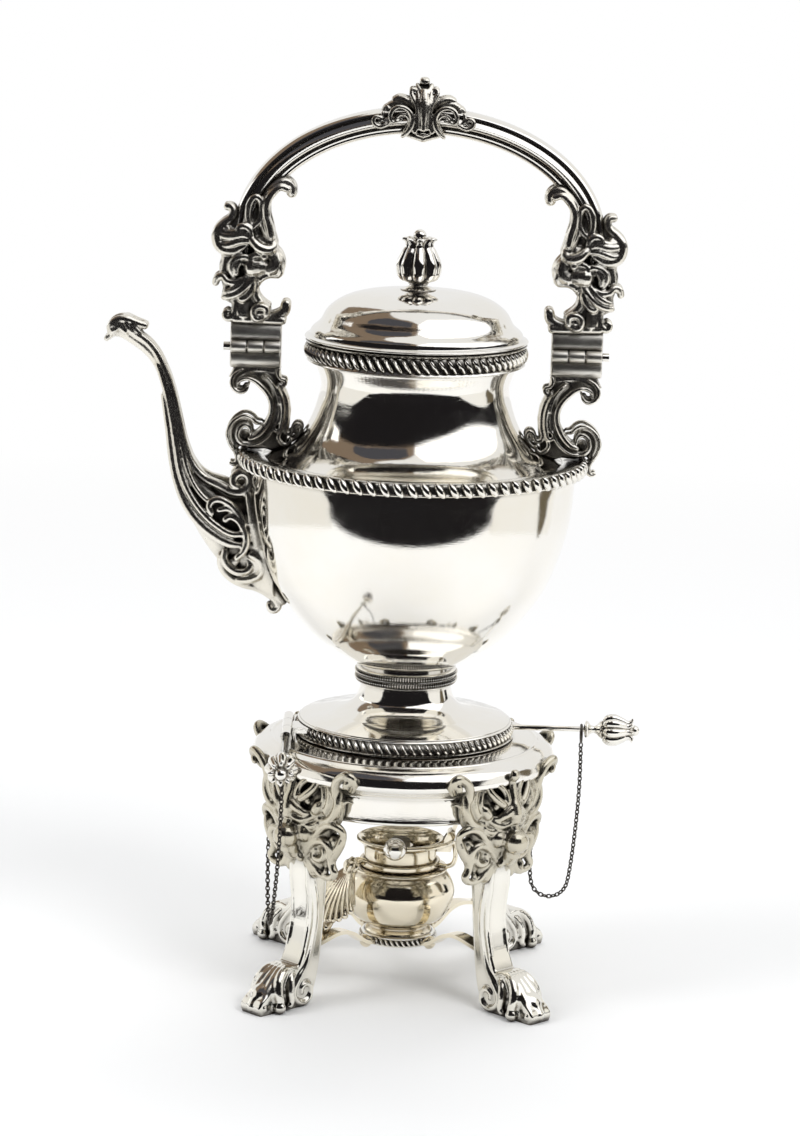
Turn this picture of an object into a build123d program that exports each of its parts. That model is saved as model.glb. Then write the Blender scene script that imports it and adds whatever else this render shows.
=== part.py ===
from build123d import *
from math import atan2, cos, degrees, hypot, radians, sin, tan
import os

# A silver-plated kettle that tilts on a four-legged stand with a spirit burner.
# Millimetres. Z is up from the floor and the kettle's axis is X = Y = 0 while the pieces are
# made. The viewer stands at -Y, the spout points to -X. The pieces are shifted at the end, so
# that the origin lies under the middle of the object's box.

# Clearances
running_gap = 0.3        # between faces of pieces that move apart
pin_clearance = 0.05     # radial, pin in its bore

# Sheet and casting walls
bowl_wall = 1.6
lid_wall = 1.4
foot_wall = 1.4
plate_wall = 2.0
apron_wall = 2.2

# Stand: ring, apron and legs
stand_top_z = 121.5
flat_r = 55.0
heat_opening_r = 43.0
bead_r = 68.0
bead_drop = 3.0
ovolo_r = 72.6
ovolo_drop = 6.2
apron_r = 64.0
apron_top_z = 109.5
apron_bottom_z = 92.0

leg_width = 13.5
leg_seat_r = apron_r + 2.0
leg_knee_z = 62.0
leg_back_r = leg_seat_r - 10.5
leg_waist_r = leg_seat_r - 1.8
leg_tongue_z = 107.0
foot_height = 19.0
foot_hump_r = leg_seat_r + 13.0
heel_r = leg_seat_r + 2.0
toe_r = leg_seat_r + 31.5
toe_height = 5.5
volute_r = 6.5
leg_angles = {"front_left": 225, "front_right": 315, "back_left": 135, "back_right": 45}

# Masks on the legs, seen from outside
mask_width = 42.0
mask_top_z = 119.0
mask_bottom_z = 60.0
mask_plate = 4.5
mask_depth = 13.5
mask_face_z = 88.0

# Burner support
support_r = 19.0
support_hole_r = 11.0
support_bottom_z = 19.0
support_height = 5.0
support_recess = 1.2
arm_width = 7.0
arm_thickness = 1.8
arm_leg_z = 26.0
arm_crest_r = 44.0
arm_crest_z = 29.0
arm_low_r = 25.0
arm_low_z = 22.0

# Spirit burner
burner_foot_r = 16.0
burner_pot_r = 26.7
burner_pot_z = 43.0
burner_flange_r = 22.5
burner_flange_z = 56.0
burner_wall = 1.2
throat_r = 17.5
rim_r = 21.3
rim_z = 69.0
wick_tube_r = 6.0
wick_tube_top_z = 66.0
wick_r = 4.6
wick_top_z = 69.5
regulator_height = 3.2
lever_r = 27.2
lever_width = 2.2
lever_z = 70.9
lever_post_angle = 17.0
lever_angle = 85.0
knob_r = 5.4
knob_flat = 0.4
snuffer_pin_r = 1.0
shell_length = 32.5
shell_rib_count = 8
shell_rib_r = 2.3
rib_root_r = 0.9
strap_r = 1.7
shell_boss_r = 4.5
shell_spread = 64.0
shell_angle = 218.0

# Kettle
foot_r = 52.6
foot_gap_z = stand_top_z + running_gap
foot_band_height = 7.2
foot_band_depth = 2.4
foot_dome_r = 35.0
foot_dome_z = 132.5
stem_r = 21.5
collar_r = 24.8
collar_bottom_z = 147.5
collar_top_z = 154.5
bowl_bottom_z = 157.0
bowl_bottom_r = 25.0
bowl_r = 77.0
shoulder_z = 254.0
shoulder_band_r = bowl_r + 6.4
shoulder_band_height = 6.4
neck_r = 44.5
neck_waist_z = shoulder_z + 37.0
mouth_r = 48.0
neck_band_r = 53.5
neck_band_bottom_z = shoulder_z + 47.0
mouth_z = shoulder_z + 57.5
strainer_hole_r = 2.4

# Spout
spout_mouth_x = 146.0
spout_mouth_z = mouth_z - 0.5
spout_base_z = shoulder_z - 40.0
spout_base_height = 58.0
spout_base_width = 27.0
spout_wall = 1.3

# Tilting hinge and lock
knuckle_r = 2.7
knuckle_length = 14.0
knuckle_mid_y = -18.2
knuckle_arm = 12.0
hinge_pin_r = 1.6
tilt_x = -(foot_r + knuckle_r + 0.2)
tilt_z = 127.0
hinge_collar_y = -84.0
hinge_bud_end_y = -113.0
bud_r = 6.3
bud_length = 17.0
lock_z = 126.0
lock_pin_r = 1.3
lock_tip_x = 43.6
lock_collar_x = 86.0
lock_bud_end_x = 113.0
barrel_r = 2.2
barrel_length = 3.2
barrel_x = 45.0
eye_x = 39.5
eye_thickness = 3.0

# Bail and its hinges
bail_hinge_x = 75.5
bail_hinge_y = -6.0
bail_hinge_z = mouth_z - 4.5
leaf_width = 24.0
leaf_depth = 8.0
lower_leaf_height = 9.5
upper_leaf_height = 11.0
bail_knuckle_r = 2.9
bail_pin_r = 1.2
bail_pin_head = 3.0
arch_center_z = 360.0
arch_a = 80.8
arch_b = 55.0
arch_thickness = 13.0
arch_width = 14.0
arch_tail = 10.0
crest_half_width = 23.5
crest_rise = 13.5
head_width = 17.0

# Brackets between the shoulder and the hinges
scroll_r = 15.2
scroll_x = 79.0
scroll_section_r = 4.0
scroll_depth = 12.0
scroll_curl_r = 5.0

# Lid
lid_r = 52.7
lid_rim_height = 1.4
lid_top_z = 335.5
bezel_length = 10.0
bezel_wall = 1.2
finial_stem_r = 3.4
finial_r = 10.4
finial_bottom_z = 340.8
finial_top_z = 360.0
finial_ball_z = 364.8
finial_ball_r = 3.2
finial_lobes = 8

# Safety chains, points of their routes chosen by hand
chain_diameter = 2.0
chain_eye_r = 1.6
chain_eye_wire_r = 0.7
lock_chain_route = [
    (85.0, 0.0, 119.1), (85.2, -0.5, 107.0), (84.9, -1.2, 92.5), (84.0, -1.8, 78.0),
    (82.8, -2.2, 64.0), (81.3, -2.4, 52.0), (80.0, -2.4, 47.4), (76.7, -2.4, 44.0),
    (72.1, -2.3, 42.8), (67.5, -2.2, 44.0), (64.2, -2.0, 47.4), (62.9, -1.7, 52.5),
    (62.7, -1.2, 61.0), (62.7, -0.6, 75.0), (62.9, 0.0, 88.0),
]
hinge_chain_route = [
    (-55.5, -83.0, 120.4), (-55.6, -83.2, 107.0), (-56.0, -82.0, 91.0),
    (-56.8, -79.0, 75.0), (-58.0, -74.0, 60.0), (-59.2, -66.5, 47.5), (-60.3, -57.0, 40.5),
    (-61.3, -46.5, 39.5), (-62.1, -36.8, 44.0), (-62.8, -28.5, 52.0), (-63.1, -21.5, 62.0),
    (-63.2, -16.0, 73.0), (-62.6, -12.2, 81.5), (-61.9, -11.0, 88.0),
]


def radial_plane(angle):
    turn = radians(angle)
    return Plane(
        origin=(0, 0, 0),
        x_dir=(cos(turn), sin(turn), 0),
        z_dir=(sin(turn), -cos(turn), 0),
    )


def facing_plane(angle, radius, height):
    turn = radians(angle)
    return Plane(
        origin=(radius * cos(turn), radius * sin(turn), height),
        x_dir=(-sin(turn), cos(turn), 0),
        z_dir=(cos(turn), sin(turn), 0),
    )


def set_off(points, distance):
    moved = []
    for index, (x, y) in enumerate(points):
        before = points[max(index - 1, 0)]
        after = points[min(index + 1, len(points) - 1)]
        run_x, run_y = after[0] - before[0], after[1] - before[1]
        run = hypot(run_x, run_y)
        moved.append((x - distance * run_y / run, y + distance * run_x / run))
    return moved


def tube_radii(route):
    radii = []
    for before, corner, after in zip(route, route[1:], route[2:]):
        first = Vector(*corner) - Vector(*before)
        second = Vector(*after) - Vector(*corner)
        half_turn = radians(first.get_angle(second)) / 2
        radii.append(0.45 * min(first.length, second.length) / tan(half_turn))
    return radii


# Turned outlines that other pieces seat on, as radius and height
bead_z = stand_top_z - bead_drop
ovolo_z = stand_top_z - ovolo_drop
ring_outline = [
    (flat_r, stand_top_z), (bead_r, bead_z), (ovolo_r, ovolo_z), (apron_r, apron_top_z),
]
bowl_outline = [
    (bowl_bottom_r, bowl_bottom_z), (bowl_bottom_r + 12.0, bowl_bottom_z + 7.5),
    (bowl_r - 28.0, bowl_bottom_z + 17.0), (bowl_r - 14.1, shoulder_z - 62.0),
    (bowl_r - 7.0, shoulder_z - 46.0), (bowl_r - 1.8, shoulder_z - 27.0), (bowl_r, shoulder_z - 8.0),
]
neck_flare = bowl_r - neck_r
shoulder_outline = [
    (bowl_r, shoulder_z), (neck_r + neck_flare * 0.6, shoulder_z + 4.0),
    (neck_r + neck_flare * 21 / 65, shoulder_z + 9.5), (neck_r + neck_flare * 51 / 325, shoulder_z + 18.0),
    (neck_r + neck_flare * 17 / 325, neck_waist_z - 9.5), (neck_r, neck_waist_z),
    (mouth_r, neck_band_bottom_z),
]

# Filled turned bodies, used only to cut what seats on them
with BuildPart() as ring_body:
    with BuildSketch(Plane.XZ):
        with BuildLine():
            Line((0, stand_top_z), ring_outline[0])
            Line(ring_outline[0], ring_outline[1])
            RadiusArc(ring_outline[1], ring_outline[2], -5.0)
            RadiusArc(ring_outline[2], ring_outline[3], 9.0)
            Polyline(ring_outline[3], (0, apron_top_z), (0, stand_top_z))
        make_face()
    revolve(axis=Axis.Z)

with BuildPart() as bowl_body:
    with BuildSketch(Plane.XZ):
        with BuildLine():
            Spline(*bowl_outline)
            Polyline(bowl_outline[-1], (bowl_r, shoulder_z), (0, shoulder_z),
                     (0, bowl_bottom_z), bowl_outline[0])
        make_face()
    revolve(axis=Axis.Z)

with BuildPart() as neck_body:
    with BuildSketch(Plane.XZ):
        with BuildLine():
            Spline(*shoulder_outline)
            Polyline(shoulder_outline[-1], (mouth_r, mouth_z), (0, mouth_z),
                     (0, shoulder_z), shoulder_outline[0])
        make_face()
    revolve(axis=Axis.Z)


# Stand ring: flat top that carries the kettle, sloping edge, ovolo and cove
with BuildPart() as stand_ring:
    add(ring_body.part)
    with BuildSketch(Plane.XZ):
        with BuildLine():
            Line((0, stand_top_z - plate_wall), (flat_r, stand_top_z - plate_wall))
            Line((flat_r, stand_top_z - plate_wall), (bead_r - 1.0, bead_z - plate_wall))
            Polyline((bead_r - 1.0, bead_z - plate_wall),
                     (apron_r - apron_wall, apron_top_z + plate_wall),
                     (apron_r - apron_wall, apron_top_z), (0, apron_top_z),
                     (0, stand_top_z - plate_wall))
        make_face()
    revolve(axis=Axis.Z, mode=Mode.SUBTRACT)
    with Locations((0, 0, stand_top_z)):
        Cylinder(heat_opening_r, 4 * plate_wall, mode=Mode.SUBTRACT)
stand_ring.part.label = "stand_ring"

# Plain band under the ring
apron_height = apron_top_z - apron_bottom_z
with BuildPart() as stand_apron:
    with BuildSketch(Plane.XY.offset(apron_bottom_z)):
        Circle(apron_r)
        Circle(apron_r - apron_wall, mode=Mode.SUBTRACT)
    extrude(amount=apron_height)
stand_apron.part.label = "stand_apron"

# Cabriole leg, made once toward +X and turned to its four places
instep_r = leg_waist_r + 7.3
with BuildPart() as leg:
    with BuildSketch(radial_plane(0)):
        with BuildLine():
            Polyline((apron_r - 1.0, leg_tongue_z), (leg_seat_r, leg_tongue_z),
                     (leg_seat_r, leg_knee_z))
            Spline((leg_seat_r, leg_knee_z), (leg_waist_r, leg_knee_z - 16.0),
                   (leg_waist_r + 2.0, foot_height + 13.0), (instep_r, foot_height))
            ThreePointArc((instep_r, foot_height), (foot_hump_r, foot_height + 0.5),
                          (foot_hump_r + 7.0, foot_height - 5.0))
            Spline((foot_hump_r + 7.0, foot_height - 5.0), (toe_r - 5.5, toe_height + 1.5),
                   (toe_r, toe_height - 1.0))
            Line((toe_r, toe_height - 1.0), (toe_r - 2.0, 0))
            Line((toe_r - 2.0, 0), (heel_r, 0))
            Spline((heel_r, 0), (leg_back_r + 6.5, 9.0), (leg_back_r + 3.1, 26.0),
                   (leg_back_r + 0.9, 48.0), (leg_back_r, 70.0))
            Polyline((leg_back_r, 70.0), (leg_back_r, apron_bottom_z),
                     (apron_r - 1.0, apron_bottom_z), (apron_r - 1.0, leg_tongue_z))
        make_face()
    extrude(amount=leg_width / 2, both=True)
    with BuildSketch(radial_plane(0)):
        with Locations((heel_r + 1.0, volute_r)):
            Circle(volute_r)
    extrude(amount=leg_width / 2 + 1.0, both=True)
    with Locations((0, 0, (apron_bottom_z + leg_tongue_z) / 2)):
        Cylinder(apron_r, leg_tongue_z - apron_bottom_z, mode=Mode.SUBTRACT)
legs = []
for place, angle in leg_angles.items():
    turned = leg.part.rotate(Axis.Z, angle)
    turned.label = f"leg_{place}"
    legs.append(turned)

# Lion mask on the knee of a leg: plate with ears and curls, domed face, brow and nose
mask_height = mask_top_z - mask_bottom_z
half_mask = mask_width / 2
face_plane = facing_plane(0, leg_seat_r, mask_face_z)
top_h = mask_top_z - mask_face_z
bottom_h = mask_bottom_z - mask_face_z
face_swell = ((0, 1.0), (0.45, 0.9), (0.8, 0.66), (1.0, 0.3))
with BuildPart() as leg_mask:
    with BuildSketch(face_plane):
        with BuildLine():
            Spline((0, top_h - 6.0), (half_mask * 0.4, top_h - 8.0), (half_mask * 0.72, top_h - 3.0),
                   (half_mask * 0.95, top_h))
            Spline((half_mask * 0.95, top_h), (half_mask * 0.83, top_h * 0.5),
                   (half_mask * 0.86, 2.0), (half_mask, -8.0))
            Spline((half_mask, -8.0), (half_mask * 0.75, -15.0), (half_mask * 0.5, bottom_h * 0.78),
                   (0, bottom_h))
            mirror(about=Plane.YZ)
        make_face()
    extrude(amount=mask_plate)
    for rise, share in face_swell:
        with BuildSketch(face_plane.offset(rise * mask_depth)):
            Ellipse(half_mask * 0.68 * share, mask_height * 0.36 * share)
    loft()
    with Locations((leg_seat_r + mask_depth - 1.5, 0, mask_face_z - 3.0)):
        Sphere(4.2)
    for side in (-1, 1):
        with Locations((leg_seat_r + mask_depth - 4.0, side * 5.6, mask_face_z + 5.5)):
            Sphere(4.0)
        with Locations((leg_seat_r + mask_plate, side * half_mask * 0.78, mask_face_z - 6.0)):
            Sphere(4.4)
        with Locations((leg_seat_r + mask_plate, side * half_mask * 0.55, mask_face_z - 16.0)):
            Sphere(3.8)
    add(ring_body.part, mode=Mode.SUBTRACT)
leg_masks = []
for place, angle in leg_angles.items():
    turned = leg_mask.part.rotate(Axis.Z, angle)
    turned.label = f"leg_mask_{place}"
    leg_masks.append(turned)

# Ring that holds the burner, with a recess for the burner's foot
support_top_z = support_bottom_z + support_height
with BuildPart() as burner_support_ring:
    with BuildSketch(Plane.XY.offset(support_bottom_z)):
        Circle(support_r)
        Circle(support_hole_r, mode=Mode.SUBTRACT)
    extrude(amount=support_height)
    fillet(burner_support_ring.edges().filter_by(GeomType.CIRCLE).group_by(SortBy.RADIUS)[-1], 1.6)
    with Locations((0, 0, support_top_z)):
        Cylinder(burner_foot_r + running_gap, 2 * support_recess, mode=Mode.SUBTRACT)
burner_support_ring.part.label = "burner_support_ring"

# Strap arm from a leg to the ring
arm_under = [
    (leg_back_r + 5.0, arm_leg_z), (arm_crest_r + 6.0, arm_crest_z - 1.5),
    (arm_crest_r - 4.0, arm_crest_z), (arm_low_r + 7.0, arm_low_z + 4.5),
    (arm_low_r, arm_low_z), (support_r - 2.0, arm_low_z - 1.0),
]
arm_over = set_off(arm_under, -arm_thickness)
with BuildPart() as support_arm:
    with BuildSketch(radial_plane(0)):
        with BuildLine():
            Spline(*arm_under)
            Line(arm_under[-1], arm_over[-1])
            Spline(*arm_over)
            Line(arm_over[0], arm_under[0])
        make_face()
    extrude(amount=arm_width / 2, both=True)
    add(leg.part, mode=Mode.SUBTRACT)
    add(burner_support_ring.part, mode=Mode.SUBTRACT)
    with Locations((0, 0, support_top_z)):
        Cylinder(support_r - 1.0, 40, mode=Mode.SUBTRACT)
support_arms = Compound([support_arm.part.rotate(Axis.Z, angle).solid() for angle in leg_angles.values()])
support_arms.label = "support_arms"

# Outer knuckles of the tilting hinge, on saddles that sit on the ring in front of the middle
knuckle_gap = running_gap
with BuildPart() as stand_knuckles:
    for side in (-1, 1):
        middle_y = knuckle_mid_y + side * (knuckle_length + knuckle_gap)
        with Locations(Location((tilt_x, middle_y, tilt_z), (90, 0, 0))):
            Cylinder(knuckle_r, knuckle_length)
        with Locations((tilt_x, middle_y, tilt_z)):
            Box(2 * knuckle_r - 1.0, knuckle_length - 3.0, tilt_z - bead_z + 1.5,
                align=(Align.CENTER, Align.CENTER, Align.MAX))
    add(ring_body.part, mode=Mode.SUBTRACT)
    with Locations(Location((tilt_x, knuckle_mid_y, tilt_z), (90, 0, 0))):
        Cylinder(hinge_pin_r + pin_clearance, 4 * knuckle_length, mode=Mode.SUBTRACT)
    with Locations((0, 0, tilt_z)):
        Cylinder(foot_r + running_gap, 2 * foot_band_height, mode=Mode.SUBTRACT)
stand_knuckles.part.label = "stand_knuckles"

# Bearing of the lock pin's tip, on the ring inside the hollow foot
with BuildPart() as lock_barrel:
    with Locations(Location((barrel_x, 0, lock_z), (0, 90, 0))):
        Cylinder(barrel_r, barrel_length)
    with Locations((barrel_x, 0, (stand_top_z + lock_z) / 2)):
        Box(barrel_length, 2 * barrel_r - 0.6, lock_z - stand_top_z)
    with Locations(Location((barrel_x, 0, lock_z), (0, 90, 0))):
        Cylinder(lock_pin_r + pin_clearance, 2 * barrel_length, mode=Mode.SUBTRACT)
lock_barrel.part.label = "lock_barrel"

# Eyes on the lower edge of the apron, where the chains hang
eye_center_r = apron_r - apron_wall / 2
with BuildPart() as chain_eyes:
    for route_end in (hinge_chain_route[-1], lock_chain_route[-1]):
        azimuth = degrees(atan2(route_end[1], route_end[0]))
        with Locations(facing_plane(azimuth, eye_center_r, apron_bottom_z - chain_eye_r)):
            Torus(chain_eye_r, chain_eye_wire_r)
    with BuildSketch(Plane.XY.offset(apron_bottom_z)):
        Circle(apron_r + chain_eye_wire_r)
    extrude(amount=2 * chain_eye_r, mode=Mode.SUBTRACT)
chain_eyes.part.label = "chain_eyes"


# Kettle bowl, raised from one sheet, with strainer holes behind the spout
bowl_inner = set_off(bowl_outline, bowl_wall)
with BuildPart() as kettle_bowl:
    add(bowl_body.part)
    with BuildSketch(Plane.XZ):
        with BuildLine():
            Spline(*bowl_inner)
            Polyline(bowl_inner[-1], (bowl_r - bowl_wall, shoulder_z + 1.0), (0, shoulder_z + 1.0),
                     (0, bowl_bottom_z + bowl_wall), (bowl_inner[0][0], bowl_bottom_z + bowl_wall),
                     bowl_inner[0])
        make_face()
    revolve(axis=Axis.Z, mode=Mode.SUBTRACT)
    with Locations(Location((-bowl_r, 0, spout_base_z), (0, 90, 0))):
        with HexLocations(2.0 * strainer_hole_r, 3, 3):
            Cylinder(strainer_hole_r, bowl_r, mode=Mode.SUBTRACT)
kettle_bowl.part.label = "kettle_bowl"

# Shoulder and neck with the mouth for the lid
neck_inner = set_off(shoulder_outline, bowl_wall)
with BuildPart() as kettle_neck:
    add(neck_body.part)
    with BuildSketch(Plane.XZ):
        with BuildLine():
            Spline(*neck_inner)
            Polyline(neck_inner[-1], (mouth_r - bowl_wall, mouth_z + 1.0), (0, mouth_z + 1.0),
                     (0, shoulder_z - bowl_wall), neck_inner[0])
        make_face()
    revolve(axis=Axis.Z, mode=Mode.SUBTRACT)
kettle_neck.part.label = "kettle_neck"

# Gadrooned bands round the shoulder, the mouth and the foot
band_top_z = shoulder_z + shoulder_band_height / 2
band_bottom_z = shoulder_z - shoulder_band_height / 2
with BuildPart() as shoulder_band:
    with BuildSketch(Plane.XZ):
        with BuildLine():
            Polyline((bowl_r - 4.0, band_top_z), (bowl_r - 4.0, band_bottom_z),
                     (bowl_r + 2.4, band_bottom_z))
            ThreePointArc((bowl_r + 2.4, band_bottom_z), (shoulder_band_r, shoulder_z),
                          (bowl_r + 2.4, band_top_z))
            Line((bowl_r + 2.4, band_top_z), (bowl_r - 4.0, band_top_z))
        make_face()
    revolve(axis=Axis.Z)
    add(neck_body.part, mode=Mode.SUBTRACT)
    add(bowl_body.part, mode=Mode.SUBTRACT)
shoulder_band.part.label = "shoulder_band"

neck_band_mid_z = (neck_band_bottom_z + mouth_z) / 2
with BuildPart() as neck_band:
    with BuildSketch(Plane.XZ):
        with BuildLine():
            Polyline((neck_band_r - 2.6, mouth_z), (mouth_r, mouth_z),
                     (mouth_r, neck_band_bottom_z), (neck_band_r - 2.6, neck_band_bottom_z))
            ThreePointArc((neck_band_r - 2.6, neck_band_bottom_z), (neck_band_r, neck_band_mid_z),
                          (neck_band_r - 2.6, mouth_z))
        make_face()
    revolve(axis=Axis.Z)
neck_band.part.label = "neck_band"

# Hollow foot: skirt, dome and stem
skirt_r = foot_r - foot_band_depth
dome_edge_z = foot_gap_z + foot_band_height + 0.8
stem_outline = [(foot_dome_r, foot_dome_z), (27.5, 135.5), (23.2, 140.0), (stem_r, 146.0)]
stem_inner = set_off(stem_outline, foot_wall)
with BuildPart() as kettle_foot:
    with BuildSketch(Plane.XZ):
        with BuildLine():
            Polyline((skirt_r, foot_gap_z), (skirt_r, dome_edge_z), stem_outline[0])
            Spline(*stem_outline)
            Polyline(stem_outline[-1], (stem_r, bowl_bottom_z), (stem_r - foot_wall, bowl_bottom_z),
                     stem_inner[-1])
            Spline(*stem_inner)
            Polyline(stem_inner[0], (skirt_r - foot_wall, dome_edge_z - foot_wall),
                     (skirt_r - foot_wall, foot_gap_z), (skirt_r, foot_gap_z))
        make_face()
    revolve(axis=Axis.Z)
    # Notch that lets the foot lift off the lock pin
    with Locations((foot_r, 0, foot_gap_z)):
        Box(4 * foot_band_depth, 2 * (lock_pin_r + running_gap),
            2 * (lock_z - foot_gap_z + lock_pin_r + running_gap), mode=Mode.SUBTRACT)
kettle_foot.part.label = "kettle_foot"

foot_band_mid_z = foot_gap_z + foot_band_height / 2
with BuildPart() as foot_band:
    with BuildSketch(Plane.XZ):
        with BuildLine():
            Polyline((foot_r - 1.2, foot_gap_z + foot_band_height), (skirt_r, foot_gap_z + foot_band_height),
                     (skirt_r, foot_gap_z), (foot_r - 1.2, foot_gap_z))
            ThreePointArc((foot_r - 1.2, foot_gap_z), (foot_r, foot_band_mid_z),
                          (foot_r - 1.2, foot_gap_z + foot_band_height))
        make_face()
    revolve(axis=Axis.Z)
    with Locations((foot_r, 0, foot_gap_z)):
        Box(4 * foot_band_depth, 2 * (lock_pin_r + running_gap),
            2 * (lock_z - foot_gap_z + lock_pin_r + running_gap), mode=Mode.SUBTRACT)
foot_band.part.label = "foot_band"

# Reeded double collar of the stem
collar_mid_z = (collar_bottom_z + collar_top_z) / 2
with BuildPart() as foot_collar:
    with BuildSketch(Plane.XZ):
        with BuildLine():
            Polyline((collar_r - 1.0, collar_top_z), (stem_r, collar_top_z),
                     (stem_r, collar_bottom_z), (collar_r - 1.0, collar_bottom_z))
            ThreePointArc((collar_r - 1.0, collar_bottom_z),
                          (collar_r, (collar_bottom_z + collar_mid_z) / 2),
                          (collar_r - 1.0, collar_mid_z))
            ThreePointArc((collar_r - 1.0, collar_mid_z), (collar_r, (collar_mid_z + collar_top_z) / 2),
                          (collar_r - 1.0, collar_top_z))
        make_face()
    revolve(axis=Axis.Z)
foot_collar.part.label = "foot_collar"

# Middle knuckle of the tilting hinge, fixed to the foot
with BuildPart() as foot_knuckle:
    with Locations(Location((tilt_x, knuckle_mid_y, tilt_z), (90, 0, 0))):
        Cylinder(knuckle_r, knuckle_length)
    with Locations((tilt_x + knuckle_arm / 2, knuckle_mid_y, tilt_z)):
        Box(knuckle_arm, knuckle_length, knuckle_r)
    with Locations(Location((tilt_x, knuckle_mid_y, tilt_z), (90, 0, 0))):
        Cylinder(hinge_pin_r + pin_clearance, 2 * knuckle_length, mode=Mode.SUBTRACT)
    add(foot_band.part, mode=Mode.SUBTRACT)
    with Locations((0, 0, tilt_z)):
        Cylinder(foot_r - 1.2, 2 * foot_band_height, mode=Mode.SUBTRACT)
foot_knuckle.part.label = "foot_knuckle"

# Eye under the foot's dome that the lock pin enters
with BuildPart() as lock_eye:
    eye_width = 4 * lock_pin_r
    with Locations((eye_x, 0, (foot_dome_z + lock_z - eye_width / 2) / 2)):
        Box(eye_thickness, eye_width, foot_dome_z - lock_z + eye_width / 2)
    with Locations(Location((eye_x, 0, lock_z), (0, 90, 0))):
        Cylinder(lock_pin_r + pin_clearance, 4 * eye_thickness, mode=Mode.SUBTRACT)
    add(kettle_foot.part, mode=Mode.SUBTRACT)
    with BuildSketch(Plane.XZ):
        with BuildLine():
            Polyline((foot_dome_r, foot_dome_z), (skirt_r, dome_edge_z), (skirt_r, foot_dome_z + 9.0),
                     (foot_dome_r, foot_dome_z + 9.0), (foot_dome_r, foot_dome_z))
        make_face()
    revolve(axis=Axis.Z, mode=Mode.SUBTRACT)
lock_eye.part.label = "lock_eye"

# Spout: middle line from mouth to base, with the width in its plane and across it
spout_sections = [
    (-spout_mouth_x, spout_mouth_z - 0.5, 7.0, 8.0), (-140.2, 312.4, 7.4, 8.2),
    (-132.5, 308.2, 6.8, 7.8), (-124.0, 301.0, 6.4, 7.6), (-117.6, 288.5, 6.3, 7.6),
    (-113.4, 270.0, 7.0, 8.2), (-109.0, 252.0, 10.2, 10.4), (-100.5, 235.0, 18.5, 15.0),
    (-86.0, 222.2, 34.6, 21.0), (-64.0, spout_base_z, spout_base_height, spout_base_width),
]


def spout_planes(sections):
    planes = []
    for index, (x, z, height, width) in enumerate(sections):
        before = sections[max(index - 1, 0)]
        after = sections[min(index + 1, len(sections) - 1)]
        along = Vector(after[0] - before[0], 0, after[1] - before[1])
        if index == len(sections) - 1:
            along = Vector(1, 0, 0)
        planes.append(Plane(origin=(x, 0, z), x_dir=(0, 1, 0), z_dir=along))
    return planes


with BuildPart() as spout:
    section_planes = spout_planes(spout_sections)
    for plane, (x, z, height, width) in zip(section_planes, spout_sections):
        with BuildSketch(plane):
            Ellipse(width / 2, height / 2)
    loft()
    # Rolled leaf over the mouth and the curl above the root
    with Locations(Location((-137.0, 0, 316.6), (90, 0, 0)), Location((-81.5, 0, 240.0), (90, 0, 0))):
        Cylinder(3.4, 9.0)
    with BuildPart(mode=Mode.PRIVATE) as spout_bore:
        mouth_plane = section_planes[0].offset(-2.0)
        with BuildSketch(mouth_plane):
            Ellipse(spout_sections[0][3] / 2 - spout_wall, spout_sections[0][2] / 2 - spout_wall)
        for plane, (x, z, height, width) in zip(section_planes, spout_sections):
            with BuildSketch(plane):
                Ellipse(width / 2 - spout_wall, height / 2 - spout_wall)
        loft()
    add(spout_bore.part, mode=Mode.SUBTRACT)
    add(bowl_body.part, mode=Mode.SUBTRACT)
spout.part.label = "spout"

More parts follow.
